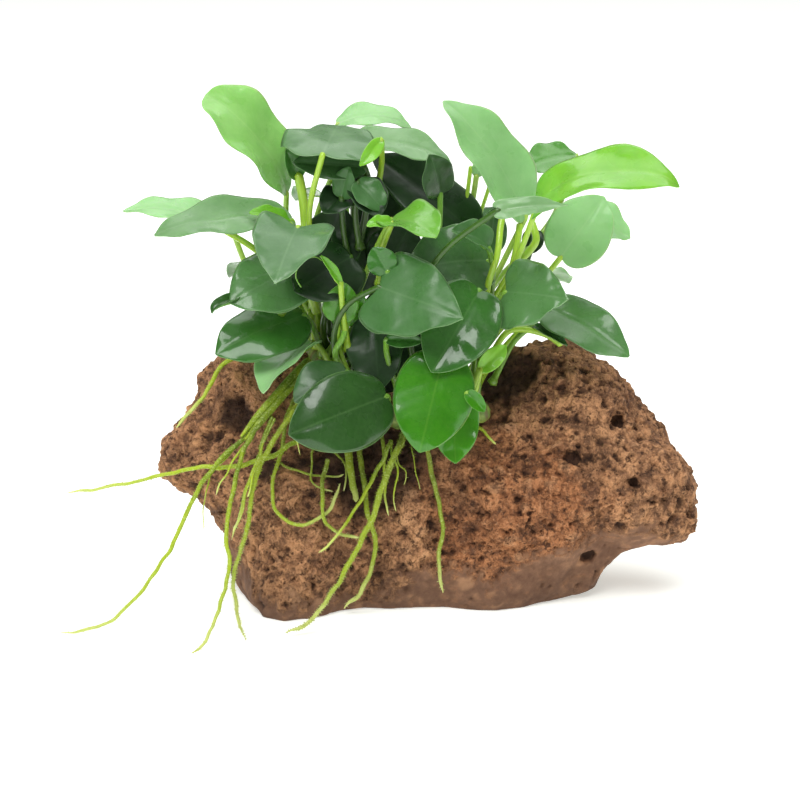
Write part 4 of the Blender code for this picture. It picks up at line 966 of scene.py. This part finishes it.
class Leaf:
    """One leaf: the solid's form, worked out more finely."""

    def __init__(self, name, base, tip, width, face, rise, droop, cup, age):
        self.name = name
        self.base = Vector(base) * MM
        self.tip = Vector(tip) * MM
        self.half_width = width * MM / 2.0
        self.face = Vector(face).normalized()
        self.rise = math.radians(rise)
        self.droop = math.radians(droop)
        self.cup = cup
        self.age = age
        self.outline = listed({HEART: HEARTS, BLUNT: BLUNTS}, name, OVAL)
        dice = random.Random(name)
        self.shade = dice.random()
        self.phase = dice.random()
        self.waves = dice.uniform(*WAVES)
        self.seed = Vector([dice.uniform(-NOISE_REACH, NOISE_REACH) for _ in range(3)])
        self.spots = []

    def find_solid(self):
        """Take the blade's move and the stalk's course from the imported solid."""
        corners = solid_corners(self.name)
        tree = tree_of(corners)
        base = self.base
        tip = self.tip
        best = math.inf
        for step in range(-SHIFT_STEPS, SHIFT_STEPS + 1):
            shift = SIGHT * (step * SHIFT_STEP)
            self.base = base + shift
            self.tip = tip + shift
            miss = sum(tree.find(corner)[2] for corner in self.solid_rings(MATCH_SHARES))
            if miss < best:
                best = miss
                found = shift
        self.base = base + found
        self.tip = tip + found
        blade = tree_of(self.solid_rings(BLADE_STATIONS))
        left = [corner for corner in corners if blade.find(corner)[2] > OWN_CORNER]
        self.spots = [self.base]
        while len(left) >= len(RING):
            left.sort(key=lambda corner: (corner - self.spots[0]).length)
            centre = sum(left[:len(RING)], Vector()) / len(RING)
            left = left[len(RING):]
            if (centre - self.base).length > STALK_RADIUS:
                self.spots.insert(0, centre)

    def midrib(self, share):
        """Point and direction on the midrib."""
        chord = (self.tip - self.base).normalized()
        above = (self.face - chord * self.face.dot(chord)).normalized()
        start = chord * math.cos(self.rise) + above * math.sin(self.rise)
        end = chord * math.cos(self.droop) - above * math.sin(self.droop)
        reach = (self.tip - self.base).length / 3.0
        return bezier(self.base, self.base + start * reach, self.tip - end * reach, self.tip, share)

    def half_width_at(self, share):
        """Half the blade's width there: round at the base, pointed at the tip."""
        low, high, _ = self.outline
        widest = low / (low + high)
        top = widest ** low * (1.0 - widest) ** high
        width = share ** low * (1.0 - share) ** high / top
        return self.half_width * width

    def lobe(self, share, across):
        """How far the blade reaches back beside the stalk."""
        return self.outline[2] * (1.0 - share) ** LOBE_POWER * across * across * self.half_width_at(share)

    def cross(self, share):
        """Middle, directions and half width of the blade there."""
        centre, along = self.midrib(share)
        side = along.cross(self.face).normalized()
        above = side.cross(along)
        least = STALK_RADIUS + (TIP_RADIUS - STALK_RADIUS) * share
        half = max(self.half_width_at(share), least)
        return centre, along, side, above, half

    def solid_rings(self, shares):
        """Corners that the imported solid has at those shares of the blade."""
        corners = []
        for share in shares:
            centre, along, side, above, half = self.cross(share)
            thick = HALF_THICKNESS
            if share > THINS_FROM:
                thick *= 1.0 - THINS_BY * (share - THINS_FROM) / (1.0 - THINS_FROM)
            for across, lift in RING:
                rise = self.cup * half * across * across
                corners.append(centre + side * (half * across) - along * self.lobe(share, across)
                               + above * (rise + thick * lift))
        return corners

    def skin(self, share, across):
        """A point of the blade's middle sheet with its groove, ribs and waves."""
        centre, along, side, above, half = self.cross(share)
        half *= NARROWED.get(self.name, 1.0)
        place = centre + side * (half * across) - along * self.lobe(share, across)
        middle = abs(across) * half
        height = self.cup * half * across * across
        fade = smooth_step(share / FADE_SPAN) * smooth_step((1.0 - share) / FADE_SPAN)
        height -= GROOVE_DEPTH * math.exp(-(middle / GROOVE_WIDTH) ** 2) * fade
        length = (self.tip - self.base).length
        rib = math.sin(math.tau * (share * length - middle * RIB_SLANT) / RIB_SPACING)
        height += RIB_DEPTH * rib * fade * smooth_step(abs(across) * RIB_RISE)
        lean = WAVE_LEAN if across > 0.0 else 0.0
        wave = math.sin(math.tau * (share * self.waves + self.phase + lean))
        height += WAVE_DEPTH * wave * abs(across) ** 3 * fade * (self.half_width / WAVE_HALF_WIDTH)
        height += SWELL_DEPTH * noise.noise(place / SWELL_SIZE + self.seed) * fade
        scale = min(MOST_SCALE, FULL_WIDTH / self.half_width)
        return place + above * height, above, middle * scale, half * (1.0 - abs(across)) * scale

    def blade_row(self, shell, share):
        """Add a row of points across the blade, and return those of its upper and lower face."""
        upper = []
        lower = []
        for column in range(COLUMNS + 1):
            across = 2.0 * column / COLUMNS - 1.0
            across = math.copysign(abs(across) ** COLUMN_SPREAD, across)
            place, above, middle, edge = self.skin(share, across)
            if column in (0, COLUMNS):
                upper.append(shell.point(place, share, middle, edge, 0.5))
                lower.append(upper[-1])
                continue
            thick = SKIN_THICKNESS * (1.0 - MARGIN_THINNING * abs(across) ** 3)
            upper.append(shell.point(place + above * thick, share, middle, edge, 0.0))
            lower.append(shell.point(place - above * thick, share, middle, edge, 1.0))
        return upper, lower

    def build(self, name, stands_for=()):
        """The leaf as one piece: stalk, midrib and blade."""
        shell = Shell(self.shade)
        rows = []
        for row in range(ROWS + 1):
            share = row / ROWS
            rows.append(self.blade_row(shell, 0.5 * share + 0.5 * smooth_step(share)))
        for (upper, lower), (next_upper, next_lower) in zip(rows, rows[1:]):
            for column in range(COLUMNS):
                after = column + 1
                shell.face((upper[column], upper[after], next_upper[after], next_upper[column]))
                shell.face((lower[column], next_lower[column], next_lower[after], lower[after]))
        base, tip = (upper + lower[-2:0:-1] for upper, lower in (rows[0], rows[-1]))
        shell.face(tuple(base[::-1]))
        shell.face(tuple(tip))
        self.add_stalk(shell)
        tone = listed(OWN_TONES, self.name, self.age)
        stalk = listed(OWN_STALKS, self.name, tone)
        return shell.piece(name, (tone, "stalk_" + stalk), SLOTS[self.age], stands_for)

    def add_stalk(self, shell):
        """The stalk, which runs on under the blade as its raised midrib."""
        first = (self.spots[1] - self.spots[0]).normalized()
        path = smooth_path([self.spots[0] - first * FOOT_DIP] + self.spots, STALK_STEP)
        radii = []
        for index in range(len(path)):
            share = index / (len(path) - 1)
            swelling = FOOT_SWELLING * (1.0 - smooth_step(share / FOOT_SPAN))
            radius = FOOT_RADIUS + (STALK_RADIUS - FOOT_RADIUS) * min(1.0, share * 2.0)
            radii.append(radius * (1 + swelling))
        for index in range(1, MIDRIB_STEPS + 1):
            share = MIDRIB_END * index / MIDRIB_STEPS
            centre, above, _, _ = self.skin(share, 0.0)
            radius = STALK_RADIUS * (MIDRIB_START_SIZE - MIDRIB_THINNING * share / MIDRIB_END)
            sink = MIDRIB_SINK * smooth_step(share / MIDRIB_SINK_SPAN)
            path.append(centre - above * (sink + radius * MIDRIB_COVER))
            radii.append(radius)
        shell.tube(path, radii, STALK_SIDES, 1)


def front_of_stone(place, radius, stone_tree):
    """The nearest y of the stone in front of a small patch at that x and z."""
    fronts = []
    reach = PROBE_SPREAD * radius
    for across in (-1, 0, 1):
        for above in (-1, 0, 1):
            eye = Vector((place.x + across * reach, -PROBE_START, place.z + above * reach))
            hit = stone_tree.ray_cast(eye, Vector((0.0, 1.0, 0.0)))[0]
            if hit is not None:
                fronts.append(hit.y)
    return min(fronts)


def lying_path(points, radius, lift, stone_tree):
    """A root's middle line laid against the front of the stone."""
    path = path_through([(x, 0.0, z) for x, z in points], ROOT_STEP)
    fronts = [front_of_stone(place, radius, stone_tree) for place in path]
    for index, place in enumerate(path):
        nearby = fronts[max(0, index - 1):index + 2]
        front = (min(nearby) + sum(nearby) / len(nearby)) / 2.0
        place.y = front - radius - STONE_GAP - lift
    return path


def wobble(path, seed):
    """The path with small bends, none at its start."""
    bent = []
    for index, place in enumerate(path):
        push = noise.noise_vector(place / BEND_SIZE + Vector((seed, 0.0, 0.0)))
        bent.append(place + push * (BEND_DEPTH * smooth_step(index / BENDS_FROM)))
    return bent


def make_root(name, path, start, end, hairs, dice):
    """One root with small bends, uneven thickness, a thin tip and fine hairs."""
    fine = wobble(smooth_path(path, FINE_STEP), dice.uniform(-NOISE_REACH, NOISE_REACH))
    last = len(fine) - 1
    radii = []
    for index, place in enumerate(fine):
        share = index / last
        radius = (start + (end - start) * share) * ROOT_SLIMNESS
        uneven = 1.0 + UNEVENNESS * noise.noise(place / UNEVEN_SIZE)
        taper = 1.0 - ROOT_TAPER * smooth_step((share - ROOT_TAPER_FROM) / ROOT_TAPER_SPAN)
        radii.append(radius * uneven * taper)
    for place, radius in zip(fine, radii):
        for axis in range(3):
            place[axis] = max(place[axis], solid_box[0][axis] + radius + BOX_GAP)
    # Roots in the leaves' shade get painted shade, the others a random dullness.
    shade = MOST_DULL * dice.random()
    shell = Shell(SHADED_ROOTS.get(name, shade))
    shell.tube(fine, radii, ROOT_SIDES)
    add_hairs(shell, fine, radii, hairs, dice)
    stands_for = (name,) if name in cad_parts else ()
    shell.piece(name.replace("root_", "roots_"), ("root",), "root", stands_for)


def add_hairs(shell, path, radii, per_mm, dice):
    """Short fine hairs that stand off the root."""
    for index in range(1, len(path) - 1):
        step = path[index + 1] - path[index]
        direction = step.normalized()
        count = per_mm * step.length / MM
        for _ in range(int(count) + (dice.random() < count % 1.0)):
            spin = Quaternion(direction, dice.uniform(0.0, math.tau))
            out = spin @ direction.orthogonal().normalized()
            foot = path[index] + out * radii[index] * HAIR_FOOT
            lean = direction * dice.uniform(*HAIR_LEAN)
            tip = foot + (out + lean) * dice.uniform(*HAIR_LENGTH) * MM
            if min(tip[axis] - solid_box[0][axis] for axis in range(3)) < BOX_GAP:
                continue
            add_hair(shell, foot, tip, direction, direction.cross(out), index / (len(path) - 1))


def add_hair(shell, foot, tip, direction, beside, share):
    """One hair as a thin closed spike."""
    across = direction * HAIR_WIDTH
    other = beside * HAIR_WIDTH
    feet = (foot + across, foot - across + other, foot - across - other)
    corners = [shell.point(place, share) for place in feet]
    top = shell.point(tip, min(1.0, share + HAIR_FADE))
    for side in range(3):
        shell.face((corners[side], corners[(side + 1) % 3], top))
    shell.face(tuple(corners[::-1]))


def make_roots():
    """All roots, the bundle as strands side by side."""
    stone_tree = BVHTree.FromPolygons(*stone_polygons())
    dice = random.Random(SEED)
    for name, start, end, points in FREE_ROOTS:
        hairs = FUZZY_HAIRS if name in FUZZY else HAIRS
        path = path_through(ROOT_LEADS.get(name, ()) + points, ROOT_STEP)
        make_root(name, path, start * MM, end * MM, hairs, dice)
    for name, start, end, lift, points in LYING_ROOTS:
        path = lying_path(points, start * MM, lift * MM, stone_tree)
        make_root(name, path, start * MM, end * MM, HAIRS, dice)
    for number, (start, end, points) in enumerate(THIN_FREE):
        path = path_through(points, ROOT_STEP)
        make_root("root_thin_free_%d" % number, path, start * MM, end * MM, THIN_HAIRS, dice)
    for number, (start, end, points) in enumerate(THIN_LYING):
        path = lying_path(points, start * MM, THIN_LIFT, stone_tree)
        make_root("root_thin_lying_%d" % number, path, start * MM, end * MM, THIN_HAIRS, dice)
    make_bundle(dice)


def stone_polygons():
    """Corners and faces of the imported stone."""
    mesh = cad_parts["lava_stone"].data
    corners = [vertex.co.copy() for vertex in mesh.vertices]
    faces = [tuple(face.vertices) for face in mesh.polygons]
    return corners, faces


def make_bundle(dice):
    """Thick roots grown side by side, which part at the lower end."""
    name, start, end, points = BUNDLE
    path = path_through(points, FINE_STEP)
    shell = Shell(BUNDLE_SHADE)
    for angle, off, radius in STRANDS:
        places = []
        radii = []
        for index, place in enumerate(path):
            direction = heading(path, index)
            share = index / (len(path) - 1)
            turn = Quaternion(direction, angle + STRAND_TWIST * share)
            side = turn @ direction.cross(UP).normalized()
            spread = off * (start + (end - start) * share) / start * MM
            places.append(place + side * spread)
            taper = 1.0 - STRAND_TAPER * smooth_step((share - STRAND_TAPER_FROM) / STRAND_TAPER_SPAN)
            radii.append(radius * taper * MM)
        shell.tube(places, radii, ROOT_SIDES)
        add_hairs(shell, places, radii, BUNDLE_HAIRS, dice)
    shell.marks["along"] = [value * BUNDLE_REACH for value in shell.marks["along"]]
    shell.piece("roots_bundle", ("root",), "root", (name,))


def make_stem():
    """The creeping stem with a scar ring at each leaf base."""
    path = path_through(STEM_POINTS, STEM_STEP)
    shell = Shell(STEM_SHADE)
    travelled = 0.0
    radii = []
    scars = []
    for index, place in enumerate(path):
        if index:
            travelled += (place - path[index - 1]).length
        ring = 0.5 + 0.5 * math.cos(math.tau * travelled / STEM_RING_SPACING)
        from_end = min(index, len(path) - 1 - index) * STEM_STEP
        rounded = math.sqrt(1.0 - STEM_ENDING * max(0.0, 1.0 - from_end / STEM_RADIUS) ** 2)
        radii.append(STEM_RADIUS * rounded * (STEM_WAIST + STEM_BULGE * ring ** 3))
        scars.append(1.0 - ring)
    shell.tube(path, radii, STEM_SIDES)
    rings = [min(index // STEM_SIDES, len(scars) - 1) for index in range(len(shell.points))]
    shell.marks["edge"] = [scars[ring] for ring in rings]
    shell.piece("creeping_stem_skin", ("stem",), "stem", ("creeping_stem",))


def fine_stone_mesh():
    """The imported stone's surface with small even faces, its facets softened."""
    shell = bmesh.new()
    shell.from_mesh(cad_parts["lava_stone"].data)
    bmesh.ops.remove_doubles(shell, verts=shell.verts, dist=SAME_PLACE)
    mesh = bpy.data.meshes.new("stone_fine")
    shell.to_mesh(mesh)
    shell.free()
    helper = bpy.data.objects.new("stone_helper", mesh)
    bpy.context.scene.collection.objects.link(helper)
    remesh = helper.modifiers.new("fine", "REMESH")
    remesh.mode = "VOXEL"
    remesh.voxel_size = STONE_FINE
    soften = helper.modifiers.new("soften", "SMOOTH")
    soften.iterations = STONE_SMOOTHING
    soften.factor = STONE_SOFTNESS
    graph = bpy.context.evaluated_depsgraph_get()
    fine = bpy.data.meshes.new_from_object(helper.evaluated_get(graph))
    bpy.data.objects.remove(helper, do_unlink=True)
    return fine


def mesh_points(mesh):
    """Places and outward directions of a mesh's points."""
    arrays = []
    for source, what in ((mesh.vertices, "co"), (mesh.vertex_normals, "vector")):
        values = np.empty(len(source) * 3)
        source.foreach_get(what, values)
        arrays.append(values.reshape(-1, 3))
    return arrays


def nearness(places, middle, spread):
    """1 at the middle, which is given in mm, and less further off."""
    away = (places - np.array(middle) * MM) / spread
    return np.exp(-(away ** 2).sum(axis=1))


def stone_relief(places):
    """Height of the relief at every point, and how crusty the stone is there."""
    heights = np.empty(len(places))
    line_x, line_z = np.array(SKIN_LINE).T * MM
    crusts = places[:, 2] - np.interp(places[:, 0], line_x, line_z)
    for index, place in enumerate(places):
        spot = Vector(place)
        pushed = spot + noise.noise_vector(spot / WARP_SIZE) * WARP
        lumps = noise.fractal(spot / LUMP_SIZE, 0.9, 2.1, 2)
        crumbs = noise.turbulence(pushed / CRUMB_SIZE, 4, True)
        grain = noise.voronoi(pushed / GRAIN_SIZE)[0][0]
        firm = 0.5 + 0.8 * noise.noise(spot / FIRM_SIZE)
        ragged = noise.fractal(spot / RAGGED_SIZE, 1.0, 2.0, 4)
        crusts[index] += RAGGED_REACH * ragged
        heights[index] = LUMP_HEIGHT * lumps + CRUMB_HEIGHT * (crumbs - CRUMB_LEVEL)
        heights[index] += GRAIN_HEIGHT * firm * (GRAIN_LEVEL - grain)
    return heights, np.clip(0.5 + crusts / CRUST_SPAN, 0.0, 1.0)


def make_stone():
    """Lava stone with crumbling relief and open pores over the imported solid."""
    mesh = fine_stone_mesh()
    places, outward = mesh_points(mesh)
    keep = np.clip((places[:, 2] - FLAT_UNDER) / (FLAT_TO - FLAT_UNDER), 0.0, 1.0)
    heights, crusts = stone_relief(places)
    warmth = nearness(places, WARM_PLACE, WARM_SPREAD)
    places += outward * (heights * (SKIN_RELIEF + (1.0 - SKIN_RELIEF) * crusts) * keep)[:, None]
    # Painted shade: the deeper a point lies in a pore, the darker its colour.
    pore_shades = carve_pores(places, outward, keep, crusts)
    places = np.clip(places, (-1.0, -1.0, 0.0), np.array(solid_box[1]))
    mesh.vertices.foreach_set("co", places.ravel())
    # Painted shade in the shaded hollows.
    for *middle, radius in SHADED_HOLLOWS:
        pore_shades = np.maximum(pore_shades, HOLLOW_SHADE_STRENGTH * nearness(places, middle, radius * MM))
    # Painted shade that grows toward the table.
    low = np.clip(1.0 - (places[:, 2] - FLOOR_SHADE_FROM) / FLOOR_SHADE_SPAN, 0.0, 1.0)
    # The relief's height lets the paint lighten its crests and darken its hollows as painted light.
    add_marks(mesh, {"pore_shade": pore_shades, "crust": crusts, "warmth": warmth, "height": heights / CRUMB_HEIGHT,
                     "low": low})
    mesh.materials.clear()
    mesh.materials.append(PAINTS["stone"])
    mesh.shade_smooth()
    mesh.update()
    place_piece("stone", mesh, ("lava_stone",))


def carve_pores(places, outward, keep, crusts):
    """Push in the large pits and many ragged pores, and return how deep each point lies, which sets the
    painted shade in the pores.
    """
    dice = random.Random(SEED)
    tree = tree_of([Vector(place) for place in places])
    depths = np.zeros(len(places))
    for *middle, long_radius, short_radius, depth, slant in PITS:
        centre = tree.find(Vector(middle) * MM)[0]
        turn = math.radians(slant)
        long_way = Vector((math.cos(turn), 0.0, math.sin(turn)))
        carve(tree, depths, centre, long_way, (long_radius * MM, short_radius * MM, depth * MM))
    for radius in pore_radii(dice):
        chosen = dice.randrange(len(places))
        if dice.random() > SKIN_PORES + (1.0 - SKIN_PORES) * crusts[chosen]:
            continue
        long_way = Vector([dice.gauss(0.0, spread) for spread in PORE_WAYS]).normalized()
        short_radius = radius * dice.uniform(*PORE_NARROWNESS)
        depth = min(radius * dice.uniform(*PORE_STEEPNESS), PORE_DEPTH)
        carve(tree, depths, Vector(places[chosen]), long_way, (radius, short_radius, depth))
    places -= outward * (depths * keep)[:, None]
    return np.clip(depths / PORE_DEPTH, 0.0, 1.0) * keep


def carve(tree, depths, centre, long_way, sizes):
    """Deepen the points inside one ragged pore."""
    long_radius, short_radius, depth = sizes
    for place, index, _ in tree.find_range(centre, long_radius * PORE_SEARCH):
        away = place - centre
        along = away.dot(long_way)
        across = (away - long_way * along).length
        ragged = 1.0 + PORE_RAGGEDNESS * noise.noise(place / PORE_RAG)
        reach = math.hypot(along / long_radius, across / short_radius) * ragged
        if reach < 1.0:
            depths[index] = max(depths[index], depth * (1.0 - reach ** 4))


def pore_radii(dice):
    """Radii of the pores, many small ones and few large ones."""
    spread = LARGEST_PORE / SMALLEST_PORE
    return [SMALLEST_PORE * spread ** (dice.random() ** PORE_RARITY) for _ in range(PORES)]


def make_paints():
    """Make every material."""
    for name, row in LEAF_TONES.items():
        PAINTS[name] = leaf_paint("leaf_" + name, *row)
    for name, row in STALK_TONES.items():
        PAINTS["stalk_" + name] = stalk_paint("stalk_" + name, *row)
    PAINTS["root"] = root_paint("root_flesh")
    PAINTS["stem"] = stem_paint("stem_bark")
    PAINTS["stone"] = stone_paint("lava")


def make_leaves():
    """Every leaf over its solid, and the small leaves and bare stalks between them."""
    for row in LEAVES:
        leaf = Leaf(*row)
        leaf.find_solid()
        leaf.build(leaf.name.replace("leaf_", "foliage_"), (leaf.name,))
    for *row, stalk in SMALL_LEAVES:
        leaf = Leaf(*row)
        leaf.spots = [Vector(point) * MM for point in stalk] + [leaf.base]
        leaf.build(leaf.name)
    for name, radius, tone, points in PETIOLES:
        shell = Shell(PETIOLE_SHADE)
        path = path_through(points, STALK_STEP)
        shell.tube(path, [radius * MM] * len(path), STALK_SIDES)
        shell.piece(name, ("stalk_" + tone,), SLOTS[tone])


def make_floor():
    """A plain pale floor that runs out of sight."""
    bpy.ops.mesh.primitive_plane_add(size=FLOOR_SIZE, location=(0.0, 0.0, 0.0))
    floor = bpy.context.object
    floor.name = "floor"
    paint = Paint("pale_floor")
    paint.set(Base_Color=FLOOR_COLOUR, Roughness=0.9, Specular_IOR_Level=0.1)
    paint.set(Emission_Color=FLOOR_GLOW_COLOUR, Emission_Strength=FLOOR_GLOW)
    floor.data.materials.append(paint.material)


def add_softbox(name, place, size, power):
    """A large soft lamp that looks at the plant."""
    data = bpy.data.lights.new(name, "AREA")
    data.shape = "RECTANGLE"
    data.size, data.size_y = size
    data.energy = power
    lamp = bpy.data.objects.new(name, data)
    lamp.location = place
    lamp.rotation_euler = (Vector(LIGHT_TARGET) - Vector(place)).to_track_quat("-Z", "Y").to_euler()
    bpy.context.scene.collection.objects.link(lamp)


def make_light():
    """Bright even studio light with two softboxes, and a calm room for gloss to mirror."""
    world = bpy.data.worlds.new("studio")
    bpy.context.scene.world = world
    world.use_nodes = True
    nodes = world.node_tree.nodes
    links = world.node_tree.links
    background = nodes["Background"]
    background.inputs["Color"].default_value = (1.0, 1.0, 1.0, 1.0)
    rays = nodes.new("ShaderNodeLightPath")
    strength = nodes.new("ShaderNodeMapRange")
    strength.inputs["To Min"].default_value = WORLD_LIGHT
    strength.inputs["To Max"].default_value = WORLD_GLOSS
    links.new(rays.outputs["Is Glossy Ray"], strength.inputs["Value"])
    links.new(strength.outputs["Result"], background.inputs["Strength"])
    for row in SOFTBOXES:
        add_softbox(*row)


def make_camera():
    """The camera at the photograph's angle."""
    data = bpy.data.cameras.new("camera")
    data.lens = LENS
    data.sensor_width = SENSOR_WIDTH
    data.clip_start, data.clip_end = CLIP_RANGE
    camera = bpy.data.objects.new("camera", data)
    rise = math.radians(CAMERA_RISE)
    back = Vector((0.0, -math.cos(rise), math.sin(rise)))
    camera.location = Vector(CAMERA_TARGET) * MM + back * CAMERA_DISTANCE
    camera.rotation_euler = (-back).to_track_quat("-Z", "Y").to_euler()
    bpy.context.scene.collection.objects.link(camera)
    bpy.context.scene.camera = camera


def main():
    """Build every piece, then the studio."""
    # Without a fixed seed, the noise differs from run to run.
    noise.seed_set(SEED)
    bpy.context.scene.view_settings.view_transform = "Standard"
    make_paints()
    make_stone()
    make_stem()
    make_roots()
    make_leaves()
    make_floor()
    make_light()
    make_camera()


main()
